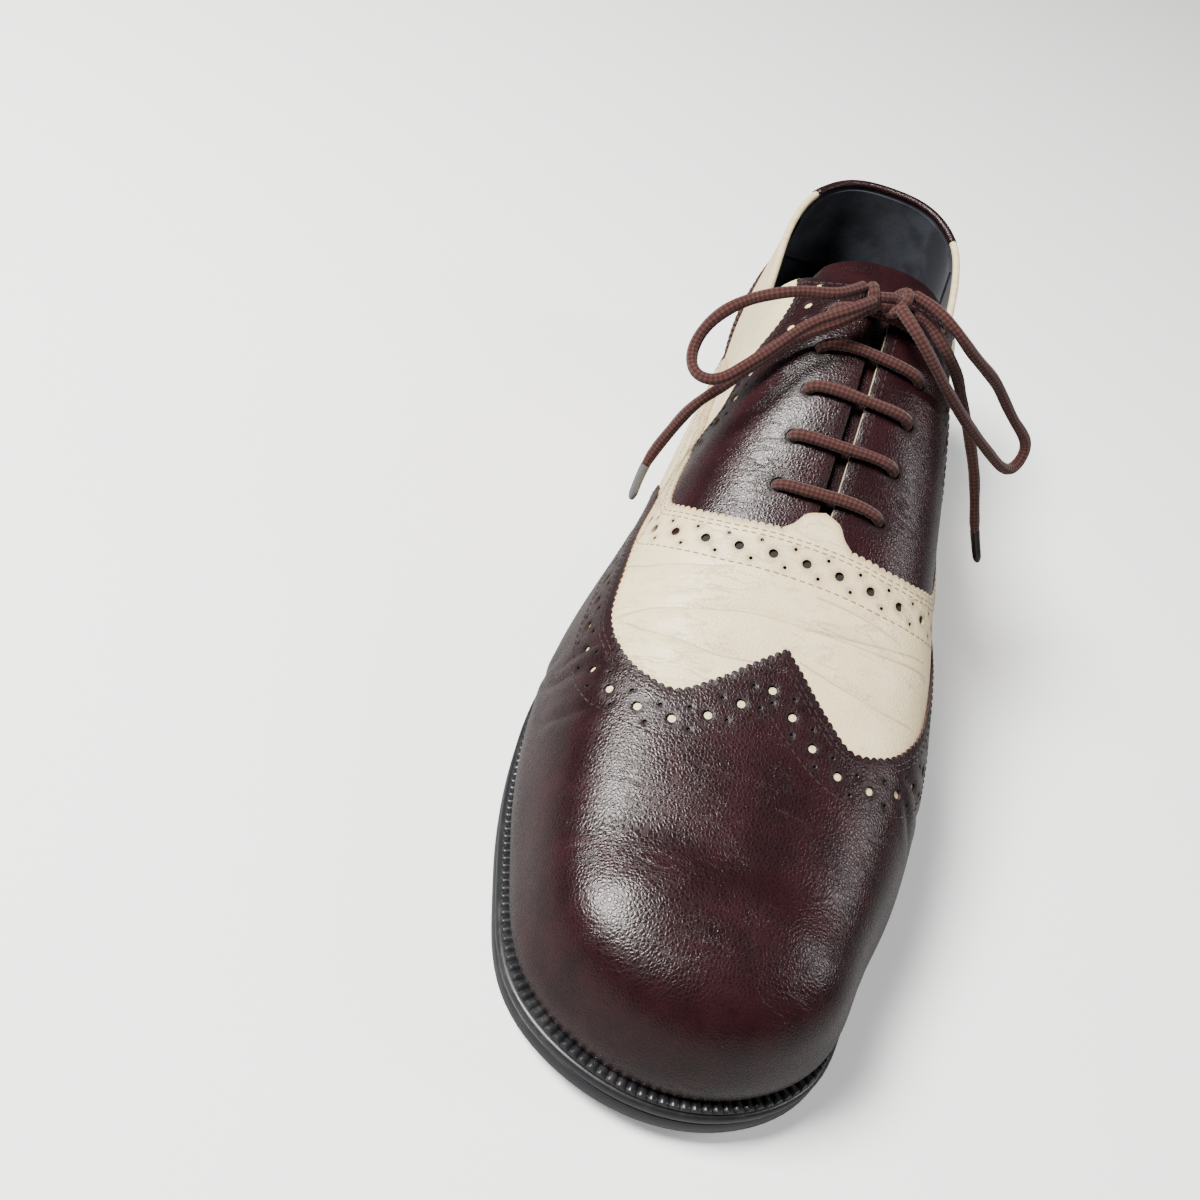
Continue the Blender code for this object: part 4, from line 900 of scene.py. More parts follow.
def evenly(line, spacing, from_flat=None):
    """Points a spacing apart along a flat line; with from_flat the spacing is measured on the shoe."""
    way = way_along(line) if from_flat is None else shoe_way(line, from_flat)
    return at_ways(np.linspace(0, way[-1], max(int(round(way[-1] / spacing)), 2) + 1), way, line)


def left_of(line):
    """Directions to the left of a flat line."""
    along = np.gradient(line, axis=0)
    along /= np.linalg.norm(along, axis=1)[:, None] + 1e-12
    return np.stack([-along[:, 1], along[:, 0]], axis=1)


def beside(line, distance):
    """The line moved to its left by a distance (to its right if less than 0), without its inner loops."""
    line = evenly(line, .5)
    moved = line + left_of(line) * distance
    gap = np.linalg.norm(moved[:, None] - line[None], axis=2).min(1)
    return evenly(moved[gap > abs(distance) - .06], .4)


def pinked(line, out, pitch=1.95, depth=.75, from_flat=from_crown):
    """A scalloped edge along a line; out is 1 for teeth to its left and -1 to its right."""
    length = shoe_way(line, from_flat)[-1]
    count = max(int(round(length / pitch)), 1)
    line = evenly(line, length / (6 * count), from_flat)
    push = depth * (np.abs(np.sin(pi * (np.arange(len(line)) % 6) / 6)) ** .75 - .75)
    return line + left_of(line) * (out * push)[:, None]


def one_side(table, side, count=120):
    """A table's line on the outer side (1) or the inner side (-1)."""
    rows = smooth_rows(table, count)
    return to_crown(rows[:, 0] if side > 0 else ROUND - rows[:, 0], rows[:, 1])


def both_sides(table):
    """The table's line over the outer side, the ridge and the inner side, as one flat line."""
    return np.vstack([one_side(table, 1, 160), one_side(table, -1, 160)[::-1]])


def inside_of(points, ring):
    """Which points lie in a closed ring."""
    hits = np.zeros(len(points), int)
    for (x0, y0), (x1, y1) in zip(ring, np.roll(ring, -1, 0)):
        if y0 == y1:
            continue
        between = (points[:, 1] >= min(y0, y1)) & (points[:, 1] < max(y0, y1))
        hits += between & (points[:, 0] < x0 + (points[:, 1] - y0) / (y1 - y0) * (x1 - x0))
    return hits % 2 == 1


# %% One panel of leather
# millimetres: the rows of points beside a crease, and the room round a crease, an outline and a hole
CREASE_ROWS = (-2.4, -1.2, -.6, 0, .6, 1.2, 2.4)
CREASE_ROOM, OUTLINE_ROOM, HOLE_ROOM = .7, .55, .4


def nearest(points, ring):
    """For each point, the number of the nearest of a ring's points and its distance."""
    tree = KDTree(len(ring))
    for k, place in enumerate(ring):
        tree.insert((place[0], place[1], 0), k)
    tree.balance()
    found = [tree.find((place[0], place[1], 0))[1:] for place in points]
    return np.array([k for k, _ in found], int), np.array([gap for _, gap in found])


def clear_of(points, ring, room):
    """The points that keep some room from a ring's points."""
    return points[nearest(points, ring)[1] > room]


def net(ring, spacing):
    """Points in staggered rows inside a ring."""
    low, high = ring.min(0), ring.max(0)
    points = [(x, y) for k, y in enumerate(np.arange(low[1], high[1], spacing * .866))
              for x in np.arange(low[0] + (k % 2) * spacing / 2, high[0], spacing)]
    points = np.array(points)
    return points[inside_of(points, ring)]


def rounding(places, from_flat):
    """For each flat place, the 2 by 2 stretch that makes a flat ring a true circle on the shoe."""
    step = .5
    middle = on_last(*from_flat(places))[0]
    by_x = (on_last(*from_flat(places + (step, 0)))[0] - middle) / (step / 1000)
    by_y = (on_last(*from_flat(places + (0, step)))[0] - middle) / (step / 1000)
    spreads = []
    for a, b in zip(by_x, by_y):
        sizes, ways = np.linalg.eigh(np.array([[a @ a, a @ b], [a @ b, b @ b]]))
        spreads.append(ways @ np.diag(np.clip(sizes, .2, 5) ** -.5) @ ways.T)
    return spreads


def hole_rings(holes, from_flat):
    """A ring on the flat pattern for each hole, which is (x, y, radius)."""
    rings = []
    for (x, y, radius), spread in zip(holes, rounding(np.array(holes)[:, :2], from_flat) if holes else []):
        count = 20 if radius > 1.6 else 12 if radius > .8 else 6
        turn = np.arange(count) * 2 * pi / count
        rings.append(np.array([x, y]) + np.stack([np.cos(turn), np.sin(turn)], axis=1) @ spread * radius)
    return rings


def fill_points(loops, holes, spacing, creased):
    """Points between a panel's outline and its holes: a net, rows along creases, rings round holes."""
    ring = loops[0]
    fill = net(ring, spacing)
    if len(creased):
        rows = [evenly(line, 1.0) for line in creased]
        rows = np.vstack([row + left_of(row) * shift for row in rows for shift in CREASE_ROWS])
        rows = rows[inside_of(rows, ring)]
        fill = np.vstack([clear_of(fill, rows, CREASE_ROOM), rows])
    fill = clear_of(fill, np.vstack(loops), OUTLINE_ROOM)
    if holes:
        closest, gap = nearest(fill, np.array(holes))
        fill = fill[gap > np.array(holes)[closest, 2] * 1.35]
        roll = np.vstack([hoop + (hoop.mean(0) - hoop) * -.32 for hoop in loops[1:]])
        fill = np.vstack([clear_of(fill, roll, HOLE_ROOM), roll[inside_of(roll, ring)]])
    return fill


def panel(name, ring, holes, looks, lift, thick, spacing=1.6, from_flat=from_crown, creased=()):
    """A sheet of leather: its ring and holes are flat and in mm, its lift is that of its face."""
    ring = ring[np.linalg.norm(np.roll(ring, -1, 0) - ring, axis=1) > .02]
    loops = [ring] + hole_rings(holes, from_flat)
    borders = np.vstack(loops)
    fill = fill_points(loops, holes, spacing, creased)
    edges, start = [], 0
    for loop in loops:
        edges += [(start + k, start + (k + 1) % len(loop)) for k in range(len(loop))]
        start += len(loop)
    owner = np.concatenate([np.full(len(loop), k) for k, loop in enumerate(loops)] + [np.full(len(fill), -1)])
    given = [Vector(place) for place in np.vstack([borders, fill])]
    flat, _, tris, sources, _, _ = delaunay_2d_cdt(given, edges, [], 1, 1e-5)
    flat = np.array([tuple(place) for place in flat])
    mine = np.array([owner[source[0]] if source else -1 for source in sources])
    tris = np.array([t for t in tris if not (mine[t[0]] > 0 and mine[t[0]] == mine[t[1]] == mine[t[2]])])
    press = np.where(mine == 0, .22, np.where(mine > 0, .10, 0))
    spots, normals = on_last(*from_flat(flat), (lift - press) / 1000)
    a, b, c = (spots[tris[:, k]] for k in range(3))
    outward = (np.cross(b - a, c - a) * normals[tris[:, 0]]).sum(1)
    tris = [t if way > 0 else t[::-1] for t, way in zip(tris.tolist(), outward)]
    # fold and rim mark where the leather is painted darker along creases, edges and holes: partly dirt and
    # partly painted shade.
    fold = np.zeros(len(flat))
    for line in creased:
        fold = np.maximum(fold, np.exp(-(nearest(flat, evenly(line, .5))[1] / .55) ** 2))
    marks = {"rim": np.exp(-(nearest(flat, borders)[1] / .95) ** 1.5), "fold": fold}
    piece = new_piece(name, spots, tris, looks, flat / 10, marks)
    settle(thicken(piece, thick, use_even_offset=False))
    print("%s: %d holes, %d triangles" % (name, len(holes), len(piece.data.loop_triangles)))
    return piece


def thicken(piece, thick, **settings):
    """A wall inwards from a sheet, thick in mm, with the second finish on its rim."""
    wall = piece.modifiers.new("thickness", "SOLIDIFY")
    wall.thickness, wall.offset, wall.material_offset_rim = thick / 1000, -1, 1
    for key, value in settings.items():
        setattr(wall, key, value)
    return piece


def settle(piece, sharp=42):
    """The modifiers' result becomes the mesh."""
    bpy.context.view_layer.update()
    mesh = bpy.data.meshes.new_from_object(piece.evaluated_get(bpy.context.evaluated_depsgraph_get()))
    piece.modifiers.clear()
    piece.data = mesh
    mesh.set_sharp_from_angle(angle=radians(sharp))
    mesh.calc_loop_triangles()


# %% [markdown]
# ## Brogueing and seams
# Broguing is a row of large holes with pairs of small ones set across the row between them.  A
# seam is a row of short stitches; each is a little loaf of thread, and hundreds are one mesh.
# %% Rows of holes and stitches
BIG, SMALL = 1.2, .50


def broguing(line, pitch=8.6, offset=3.0, across=2.7, slant=.7, from_flat=from_crown):
    """Holes along a flat line: large ones a pitch apart, and two small ones across it between them."""
    line = evenly(line, .4, from_flat)
    way = shoe_way(line, from_flat)
    count = max(int(round((way[-1] - offset * 2) / pitch / 2)), 1) * 2
    places = np.linspace(offset, way[-1] - offset, count + 1)
    left = left_of(line)

    def at(place, shift=0.0):
        aside = at_ways(place, way, left)
        return at_ways(place, way, line) + aside / np.linalg.norm(aside) * shift
    holes = [(*at(place), BIG) for place in places]
    for middle in (places[:-1] + places[1:]) / 2:
        holes += [(*at(middle - slant, across), SMALL), (*at(middle + slant, -across), SMALL)]
    s, u = from_flat(np.array(holes)[:, :2])
    keep = on_leather(s, u, .035) & (u > .02)
    return [hole for hole, k in zip(holes, keep) if k]


PAST_COLLAR = 7                                 # a station in front of the collar


def on_leather(s, u, margin):
    """Whether places are above the foot and below the collar by a margin."""
    t = np.minimum(np.mod(s, ROUND), ROUND - np.mod(s, ROUND))
    return (u > .004) & (u < np.where(t > PAST_COLLAR, 2, top_up(s) - margin))


seams = {"burgundy": [], "cream": []}
STITCH, STITCH_GAP, STITCH_WIDE = 1.75, .45, .26


def seam(line, lift, thread, from_flat=from_crown):
    """Stitches along a flat line, at a height over the last."""
    line = evenly(line, .5, from_flat)
    way = shoe_way(line, from_flat)
    count = int(way[-1] / (STITCH + STITCH_GAP))
    places = (np.arange(count) + .5) * way[-1] / count
    s, u = from_flat(at_ways(places, way, line))
    keep = on_leather(s, u, .010)
    spots, normals = on_last(s, u, lift / 1000)
    a, b = (on_last(*from_flat(at_ways(places + half, way, line)), lift / 1000)[0]
            for half in (-STITCH / 2, STITCH / 2))
    along = b - a
    length = np.linalg.norm(along, axis=1)
    along /= length[:, None]
    across = np.cross(normals, along)
    for row in zip(spots[keep], along[keep], across[keep], normals[keep], length[keep]):
        seams[thread].append((*row, STITCH_WIDE / 1000))


LOAF = [(-.5, 0, -.35), (-.34, .95, -.2), (-.34, .0, .62), (-.34, -.95, -.2),
        (.34, .95, -.2), (.34, .0, .62), (.34, -.95, -.2), (.5, 0, -.35)]
LOAF_FACES = [(0, 2, 1), (0, 3, 2), (1, 2, 5), (1, 5, 4), (2, 3, 6), (2, 6, 5), (3, 1, 4), (3, 4, 6),
              (7, 4, 5), (7, 5, 6), (7, 6, 4), (0, 1, 3)]


def sew(name, rows, look):
    """All stitches of one thread as one mesh."""
    points, maps = [], []
    for k, (spot, along, across, normal, length, wide) in enumerate(rows):
        for a, b, c in LOAF:
            points.append(spot + along * a * length + across * b * wide + normal * c * wide * 1.1)
            maps.append((a * 6 + k * .37, b * .5))
    faces = [tuple(v + k * 8 for v in face) for k in range(len(rows)) for face in LOAF_FACES]
    new_piece(name, points, faces, look, maps, sharp=70)
    print(name, len(rows), "stitches")


# %% [markdown]
# ## The panels of the shoe
# The edges come from the solids.  Each is a line of (station, share up) points, the same on both
# sides.  The collar is the height where the last is cut, looked up column by column.
# %% Edges
# (station, share up) on the outer side
WING_EDGE = [(5.70, .00), (6.00, .12), (6.35, .26), (7.00, .37), (8.00, .49), (8.70, .56), (9.30, .60),
             (9.70, .665), (10.0, .75), (10.13, .825), (9.93, .893), (9.65, .955), (9.44, 1)]
VAMP_EDGE = [(4.20, .00), (4.20, .10), (4.33, .20), (4.60, .30), (4.95, .375), (5.40, .42), (6.00, .445),
             (7.00, .50), (7.60, .545), (8.00, .60), (8.20, .68), (8.32, .76), (8.37, .85), (8.37, .925)]
TAB_EDGE = [(8.37, .925), (8.30, .945), (8.18, .965), (8.12, 1)]
FACING_EDGE = [(5.45, .69), (5.77, .705), (6.06, .68), (6.33, .61), (6.60, .585), (6.82, .56),
               (6.80, .50), (6.55, .44)]
FACING_HIDDEN = [(6.62, .42), (7.10, .455), (7.75, .50), (8.20, .57), (8.45, .66), (8.56, .80), (8.58, .98)]
COUNTER_EDGE = [(3.75, .00), (3.45, .14), (3.20, .245), (2.75, .315), (1.95, .39), (1.78, .45),
                (2.05, .56), (2.10, .62)]
# share of the length, then the collar's height as shares of the back's and of the instep's
TOPLINE = [(-.05, 1.02, 0), (.008, 1.0, 0), (.065, .955, 0), (.145, .895, 0), (.225, .872, 0),
           (.285, .900, 0), (.330, 0, .820), (.350, 0, .875), (.372, 0, .945), (.394, 0, 1.0),
           (.410, 0, 1.10)]
THROAT = .598                                   # where the slit ends, in shares of the length
HALF_SLIT = 1.7                                 # mm

collar_at = np.linspace(TOPLINE[0][0], TOPLINE[-1][0], 40)
collar_z = [(a * BACK_HEIGHT + b * INSTEP_HEIGHT,) for _, a, b in TOPLINE]
collar_z = steady([row[0] for row in TOPLINE], collar_z, collar_at)[:, 0]
skin_at = .5 - (SKIN[..., 1] + MIDDLE.y) / LENGTH
above = SKIN[..., 2] + MIDDLE.z - np.interp(skin_at, collar_at, collar_z, right=1.0)
TOP_UP = np.ones(ROUND * FINE)
for k, column in enumerate(above):
    hits = np.nonzero(column > 0)[0]
    if len(hits) and hits[0] > 0:
        a, b = column[hits[0] - 1], column[hits[0]]
        TOP_UP[k] = FINE_UPS[hits[0] - 1] + FINE_UPS[1] * a / (a - b)


def top_up(s):
    """Share up where the collar cuts the last, or the edge of the slit in front of it."""
    s = np.asarray(s, float)
    cut = np.interp(np.mod(s, ROUND) * FINE, np.arange(ROUND * FINE + 1), np.append(TOP_UP, TOP_UP[0]))
    slit_edge = read(UP_OF_REACH, np.mod(s, ROUND) * FINE, np.full(len(s), HALF_SLIT / REACH_STEP))
    return np.minimum(cut, slit_edge)


corner = next(s for s in np.arange(5, 7, .01) if np.interp(s * FINE, np.arange(ROUND * FINE), TOP_UP) > .999)
print("collar: share up at the heel %.2f, its front corner at station %.2f" % (TOP_UP[0], corner))


# %% Sheets that follow the last
def sheet_grid(name, columns, low, high, rows, look, lift, thick):
    """A sheet over the last between two shares up, given for each column."""
    ups = low[:, None] + (high - low)[:, None] * np.linspace(0, 1, rows)[None]
    s = np.repeat(columns, rows)
    spots, normals = on_last(np.mod(s, ROUND), ups.ravel(), lift / 1000)
    faces = [(a * rows + b, (a + 1) * rows + b, (a + 1) * rows + b + 1, a * rows + b + 1)
             for a in range(len(columns) - 1) for b in range(rows - 1)]
    sample = faces[len(faces) // 2]
    a, b, c = spots[list(sample[:3])]
    if np.cross(b - a, c - a) @ normals[sample[0]] < 0:
        faces = [face[::-1] for face in faces]
    piece = new_piece(name, spots, faces, look, to_heel(s, ups.ravel()) / 10,
                      {"rim": np.zeros(len(s)), "fold": np.zeros(len(s))})
    settle(thicken(piece, thick))
    return piece


corner_at = np.arange(5.2, 6.3, .025)
columns = np.unique(np.round(np.concatenate([np.arange(-8.75, 8.76, .125), corner_at, -corner_at]), 4))
tops = top_up(columns)
quarters = sheet_grid("quarters", columns, tops * 0, tops, 56, [CREAM, CREAM_EDGE], 0, .9)
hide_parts("upper")
sheet_grid("lining", columns, tops * 0, tops, 40, [LINING, LINING], -.95, .85)
grip_at = np.arange(-2.9, 2.91, .1)
grip_low = .30 + .10 * (grip_at / 2.9) ** 2
sheet_grid("heel_grip", grip_at, grip_low, top_up(grip_at) - .012, 30, [SUEDE, SUEDE],
           -1.85, .7)

# %% Wing cap and vamp
# millimetres: the height of each layer's face over the last
WING_LIFT, VAMP_LIFT, FACING_LIFT, COUNTER_LIFT = 2.1, 1.35, .75, 1.4
wing_line = both_sides(WING_EDGE)
band_side = [one_side(VAMP_EDGE, side) for side in (1, -1)]
tab_side = [one_side(TAB_EDGE, side) for side in (1, -1)]
crease_flat = [line for _, _, line in crease_lines]


def foot_line(start, end):
    s = np.arange(start, end, .05 if end > start else -.05)
    return to_crown(s, s * 0)


wing_holes = broguing(beside(wing_line, 7.9))
wing_ring = np.vstack([pinked(wing_line, -1), foot_line(ROUND - 5.72, 5.72)[1:-1]])
wing = panel("wing_cap_leather", wing_ring, wing_holes, [BROWN, BROWN_EDGE], WING_LIFT,
             .95, 1.7, creased=crease_flat[6:11])
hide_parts("wing_cap")

hidden = beside(wing_line, 14.5)
band_line = np.vstack([band_side[0], band_side[1][::-1]])
vamp_holes = broguing(beside(band_line, 7.3))
vamp_ring = np.vstack([pinked(band_side[0], -1), tab_side[0][2:], tab_side[1][::-1][1:-2],
                       pinked(band_side[1][::-1], -1), foot_line(ROUND - 4.25, ROUND - 6.4), hidden[::-1],
                       foot_line(6.4, 4.25)])
vamp = panel("vamp_leather", vamp_ring, vamp_holes, [CREAM, CREAM_EDGE], VAMP_LIFT, 1.0, 1.7,
             creased=crease_flat)
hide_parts("vamp")

# %% Facings
eyelet_holes = [(x, y, EYELET_RADIUS) for x, y in eyelet_places]
slit_end = ridge_place(THROAT) + 8
for name, side in (("facing_outer", 1), ("facing_inner", -1)):
    rear = one_side(FACING_EDGE, side)
    front = one_side(FACING_HIDDEN, side)
    at = np.arange(5.47, corner + .03, .01)
    top = to_crown(at if side > 0 else ROUND - at, top_up(at) - .003)
    top = top[np.abs(top[:, 1]) > HALF_SLIT + .05]
    slit_edge = np.stack([np.linspace(top[-1, 0] + .3, slit_end, 60), np.full(60, side * HALF_SLIT)], axis=1)
    ring = np.vstack([pinked(rear, side), front, slit_edge[::-1], top[::-1]])
    holes = [hole for hole in eyelet_holes if hole[1] * side > 0]
    holes += broguing(beside(rear, -side * 7.2), pitch=8.3, offset=2.5)
    piece = panel(name + "_leather", ring, holes, [BROWN, BROWN_EDGE], FACING_LIFT,
                  .6, 1.7)
    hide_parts(name)
    for line in (beside(rear, -side * 2.0), beside(rear, -side * 3.2), slit_edge + (0, side * 2.6),
                 top + (2.4, 0)):
        seam(line, FACING_LIFT, "burgundy")

# %% Heel counter
counter_rows = smooth_rows(COUNTER_EDGE, 120)
counter_sides = [(to_heel(counter_rows[:, 0] * side, counter_rows[:, 1]), side) for side in (1, -1)]
counter_edges, counter_holes = [], []
for line, side in counter_sides:
    s, u = from_heel(line)
    counter_edges.append(pinked(line[on_leather(s, u + .01, .006)], -side, from_flat=from_heel))
    counter_holes += broguing(beside(line, side * 7.5), offset=2.5, from_flat=from_heel)
rim_at = np.arange(2.08, -2.09, -.04)
foot_at = np.arange(-3.7, 3.71, .05)
counter_ring = np.vstack([counter_edges[0], to_heel(rim_at, top_up(rim_at) - .004), counter_edges[1][::-1],
                          to_heel(foot_at, 0 * foot_at)])
counter = panel("heel_counter_leather", counter_ring, counter_holes, [BROWN, BROWN_EDGE],
                COUNTER_LIFT, .95, 1.8, from_flat=from_heel)
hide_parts("heel_counter")

# %% Seams
for distance in (2.0, 3.2, 12.6):
    seam(beside(wing_line, distance), WING_LIFT, "burgundy")
for distance in (2.0, 3.2, 12.0):
    seam(beside(band_line, distance), VAMP_LIFT, "cream")
    for line, side in counter_sides:
        seam(beside(line, side * distance), COUNTER_LIFT, "burgundy", from_heel)
sew("burgundy_stitches", seams["burgundy"], DARK_THREAD)
sew("cream_stitches", seams["cream"], CREAM_THREAD)

# %% [markdown]
# The band's holes and the eyelets show black, so a dark disc of painted shade lies under each, in
# place of the shade inside them.  Under the wing cap's large holes it is only a ring of painted
# shade by the wall, because there the cream leather shows through.
# %% Painted shade under the holes
discs = []
SIDES = 12
turn = np.arange(SIDES) * 2 * pi / SIDES
circle = np.stack([np.cos(turn), np.sin(turn)], axis=1)
hoop_faces = [(k, (k + 1) % SIDES, SIDES + (k + 1) % SIDES, SIDES + k) for k in range(SIDES)]
for holes, lift, cream_below in ((vamp_holes, .45, False), (eyelet_holes, .2, False),
                                 (wing_holes, 1.42, True)):
    places = np.array(holes)
    for (x, y, radius), spread in zip(places, rounding(places[:, :2], from_crown)):
        ring = np.array([x, y]) + circle @ spread * (radius + .15)
        faces = [tuple(range(SIDES))]
        if cream_below and radius > .8:
            ring = np.vstack([ring, np.array([x - .12, y - .12]) + circle @ spread * radius * .80])
            faces = hoop_faces
        discs.append((on_last(*from_crown(ring), lift / 1000)[0], faces, np.zeros((len(ring), 2))))
points, faces, maps = joined(discs)
new_piece("painted_shade_under_holes", points, faces, HOLE_SHADE, maps)

# %% Tongue and binding
ends = ridge_place(.350), ridge_place(.630)
rows = np.linspace(0, 1, 30)
reach = 26.5 * (1 - .10 * rows ** 2) * np.minimum(1, .80 + 4 * rows)
x = ends[0] + (ends[1] - ends[0]) * rows
tongue_ring = np.vstack([np.stack([x, reach], axis=1), np.stack([x, -reach], axis=1)[::-1]])
tongue = panel("tongue_leather", tongue_ring, [], [BROWN, BROWN_EDGE], -2.1, 1.8, 2.4)
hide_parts("tongue")


def binding(name, start, end, radius, look):
    """A rolled edge along the collar, between two stations."""
    at = np.arange(start, end, .04)
    path = on_last(np.mod(at, ROUND), top_up(at) - .002, -.0007)[0]
    points, faces, maps = tube(smooth_path(path[::3], .0012), radius, sides=12)
    plain = np.zeros(len(points))
    weld(new_piece(name, points, faces, look, maps, {"rim": plain, "fold": plain}))


binding("collar_binding_back", -2.1, 2.1, .00135, BROWN)
binding("collar_binding_outer", 2.1, 5.5, .00120, CREAM)
binding("collar_binding_inner", -5.5, -2.1, .00120, CREAM)

# %% [markdown]
# ## The sole
# Each part of the sole is a stack of closed outlines drawn round the foot of the last, joined by
# strips.  The ribbed bead is one long bar whose section swells at every rib.
# %% Outlines and slabs
RING_STEP = .125
ring_at = np.arange(0, ROUND, RING_STEP)
FOOT = last(ring_at, [0])[:, 0, :2]
along = np.roll(FOOT, -1, 0) - np.roll(FOOT, 1, 0)
OUTWARD = np.stack([along[:, 1], -along[:, 0]], axis=1)
OUTWARD /= np.linalg.norm(OUTWARD, axis=1)[:, None]
if ((FOOT - FOOT.mean(0)) * OUTWARD).sum() < 0:
    OUTWARD = -OUTWARD
edge_shares = [row[13] for row in LAST]
edge_shares = np.array(edge_shares + edge_shares[-2:0:-1])[:, None]
EDGE = spline(KNOTS_ROUND[:-1], edge_shares, np.interp(ring_at, range(ROUND + 1), KNOTS_ROUND), period=1)


def foot_ring(grow=0.0, share=0.0, stations=ring_at):
    """Plan points round the foot, moved out by grow and by a share of the welt's reach."""
    ring = FOOT + OUTWARD * (grow + share * EDGE * WELT_REACH)
    k = np.mod(np.asarray(stations, float), ROUND) / RING_STEP
    return at_ways(k, np.arange(len(ring) + 1), np.vstack([ring, ring[:1]]))


def level(plan, z):
    """Ring points at a height from the upper's foot."""
    return np.column_stack([plan, foot_height(plan[:, 1]) + z])


def levels(rows):
    """A ring for each (grow, share, height)."""
    return [level(foot_ring(grow, share), z) for grow, share, z in rows]


def strips(rings, count, closed=True):
    """Faces between rings of count points, given as (ring, next ring); closed joins their last points."""
    return [(k * count + i, k * count + (i + 1) % count, after * count + (i + 1) % count, after * count + i)
            for k, after in rings for i in range(count if closed else count - 1)]


def slab(name, rings, look, ladder=True):
    """A closed body through rings of (x, y, z) points, with strips across its ends."""
    count = len(rings[0])
    faces = strips([(k, k + 1) for k in range(len(rings) - 1)], count)
    for base, flip in ((0, True), ((len(rings) - 1) * count, False)):
        for i in range(count // 2):
            a, b = i, i + 1
            c, d = ((count - b) % count, (count - a) % count) if ladder else (count - 1 - b, count - 1 - a)
            strip = [base + v for v in dict.fromkeys((a, b, c, d))]
            if len(strip) > 2:
                faces.append(strip[::-1] if flip else strip)
    piece = new_piece(name, np.vstack(rings) - MIDDLE_ROW, faces, look, sharp=50)
    return edited(piece, lambda bm: bmesh.ops.recalc_face_normals(bm, faces=bm.faces))


# %% Outsole, insole and welt
top = -GAP - WELT - GAP
bottom = top - OUTSOLE
rings = levels([(-.0008, 1, bottom), (-.0002, 1, bottom + .0003), (0, 1, bottom + .0009), (0, 1, top - .0009),
                (-.0003, 1, top - .0002), (-.0009, 1, top)])
outsole = slab("outsole_rubber", rings, SOLE_RUBBER)
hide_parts("outsole")
rings = levels([(-.0024, 0, 0), (-.0024, 0, .0028), (-.0034, 0, .0030)])
sock = slab("insole_lining", rings, LINING)
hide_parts("insole")
low = -GAP - WELT
high = low + WELT
rings = levels([(-.0058, 0, low), (-.0009, 1, low), (-.0002, 1, low + .0002), (0, 1, low + .0008),
                (0, 1, high - .0009), (-.0004, 1, high - .0002), (-.0010, 1, high), (-.0058, 0, high)])
faces = strips([(k, (k + 1) % len(rings)) for k in range(len(rings))], len(rings[0]))
welt = new_piece("welt_rubber", np.vstack(rings) - MIDDLE_ROW, faces, WELT_RUBBER, sharp=50)
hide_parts("welt")

# %% Ribbed bead
RIB_PITCH = .0022
RIB = np.array([0, .85, 1, 1, .85])             # its height, from one groove to the next
bead_at = np.arange(6.0, ROUND - 6.0, .02)
way = way_along(foot_ring(0, 0, bead_at))
ribs = int(way[-1] / RIB_PITCH)
at = np.interp(np.linspace(0, way[-1], ribs * len(RIB) + 1), way, bead_at)
count = len(at)
heights = RIB[np.arange(count) % len(RIB)]
end_fade = np.clip(np.minimum(np.arange(count), count - 1 - np.arange(count)) / 20, .05, 1)
points = []
for reach, z in ((.0024, 0), (.0054, 0), (.0055, .6), (.0052, .94), (.0042, 1.0), (.0024, 1.0)):
    points.append(level(foot_ring(reach, 0, at), .0016 * z * (.50 + .50 * heights) * end_fade) - MIDDLE_ROW)
around = len(points)
faces = strips([(k, (k + 1) % around) for k in range(around)], count, closed=False)
faces += [tuple(k * count for k in range(around)), tuple(k * count + count - 1 for k in range(around))[::-1]]
bead = new_piece("ribbed_bead_rubber", np.vstack(points), faces, WELT_RUBBER, sharp=55)
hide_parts("ribbed_bead")
print("ribs:", ribs)

# %% Heel
BREAST = (.5 - .247) * LENGTH
BREAST_SLANT = .003
TAPER = .0015


def heel_ring(z, grow, front):
    """Outline of the heel at a height (or under the outsole), closed at its breast."""
    fine = np.arange(-6, 6.01, .05)
    back = np.nonzero(foot_ring(grow, 1, fine)[:, 1] > front)[0]
    ring = foot_ring(grow, 1, np.linspace(fine[back[0]], fine[back[-1]], 121))
    ring[[0, -1], 1] = front
    height = foot_height(ring[:, 1]) - 2 * GAP - WELT - OUTSOLE - GAP if z is None else np.full(len(ring), z)
    return np.column_stack([ring, height])


def breast(z):
    return BREAST - BREAST_SLANT * z / HEEL_LIFT


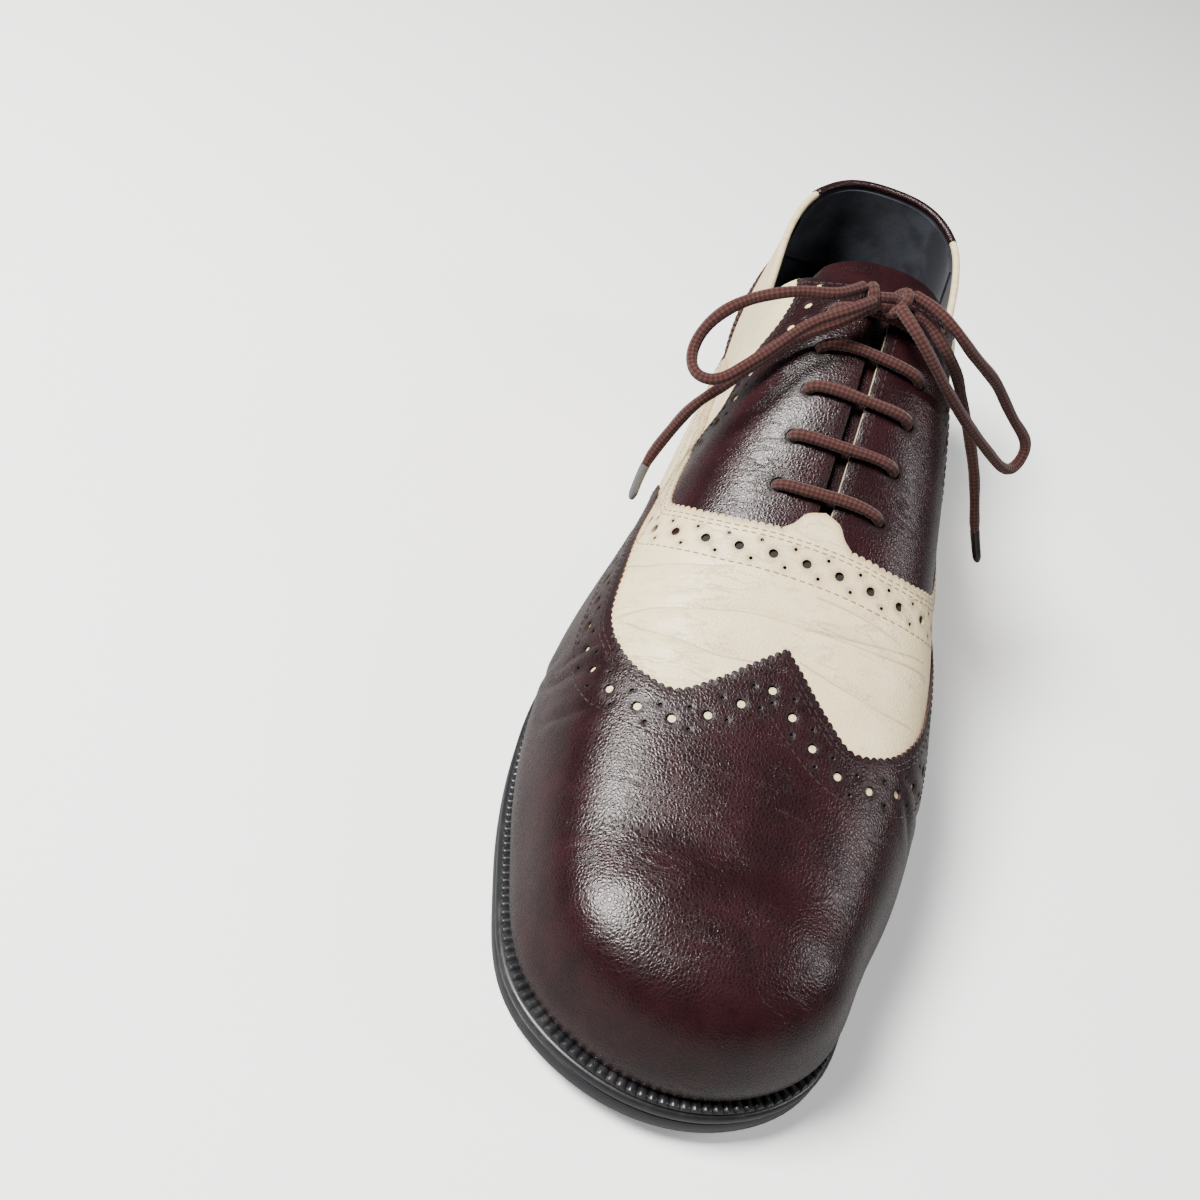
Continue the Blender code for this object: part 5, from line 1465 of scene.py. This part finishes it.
lift_rings = [heel_ring(z, -TAPER - extra, breast(z)) for z, extra in
              ((0, .0006), (.0006, 0), (.0052, -.0002), (.0060, .0001))]
heel_rings = [heel_ring(.0063, -.0012, BREAST - .0008)]
for z in (.0112, .0160, .0205):
    share = (z - .006) / .0165
    for shift, extra in ((-.0002, 0), (0, -.00022), (.0002, 0)):
        heel_rings.append(heel_ring(z + shift, -.0011 * (1 - share) + extra, breast(z + shift)))
heel_rings.append(heel_ring(None, 0, BREAST - BREAST_SLANT))
top_lift = slab("top_lift_rubber", lift_rings, SOLE_RUBBER, False)
heel = slab("heel_rubber", heel_rings, SOLE_RUBBER, False)
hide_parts("top_lift")
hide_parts("heel")

# %% [markdown]
# ## Studio
# A pale floor, a softbox up and to the left for the highlight on the toe, and a weaker one on the
# right; the bright floor lights the sole's edge from below.
# %% Floor and lights
def softbox(name, way, distance, size, power, colour=(1, 1, 1)):
    data = bpy.data.lights.new(name, "AREA")
    data.shape = "RECTANGLE"
    data.size, data.size_y = size
    data.energy = power
    data.color = colour
    lamp = bpy.data.objects.new(name, data)
    scene.collection.objects.link(lamp)
    way = Vector(way).normalized()
    lamp.location = way * distance
    lamp.rotation_euler = way.to_track_quat("Z", "Y").to_euler()
    return lamp


softbox("key softbox", (-.50, -.20, .84), 1.3, (.42, .42), 58, (1, .985, .95))
softbox("side softbox", (.78, .03, .62), 1.4, (.30, .6), 7)
world = bpy.data.worlds.new("studio")
scene.world = world
world.use_nodes = True
world.node_tree.nodes["Background"].inputs[0].default_value = (.95, .96, 1, 1)
world.node_tree.nodes["Background"].inputs[1].default_value = .07
floor_mesh = bpy.data.meshes.new("floor")
floor_mesh.from_pydata([(-3, -3, 0), (3, -3, 0), (3, 3, 0), (-3, 3, 0)], [], [(0, 1, 2, 3)])
floor = bpy.data.objects.new("floor", floor_mesh)
scene.collection.objects.link(floor)
# The paper glows a little, more so for the camera, and is dark in reflections, so that the gloss of
# the leather comes from the softboxes alone.
paper, tree, shader = finish("paper", Roughness=.9, Emission_Color=(1, 1, 1, 1))
rays = node(tree, "ShaderNodeLightPath").outputs
wire(tree, shader, Base_Color=mixed(tree, rays["Is Glossy Ray"], (.94, .94, .94), (.16, .16, .16)),
     Emission_Strength=sums(tree, "MULTIPLY_ADD", rays["Is Camera Ray"], .14, .16))
floor_mesh.materials.append(paper)
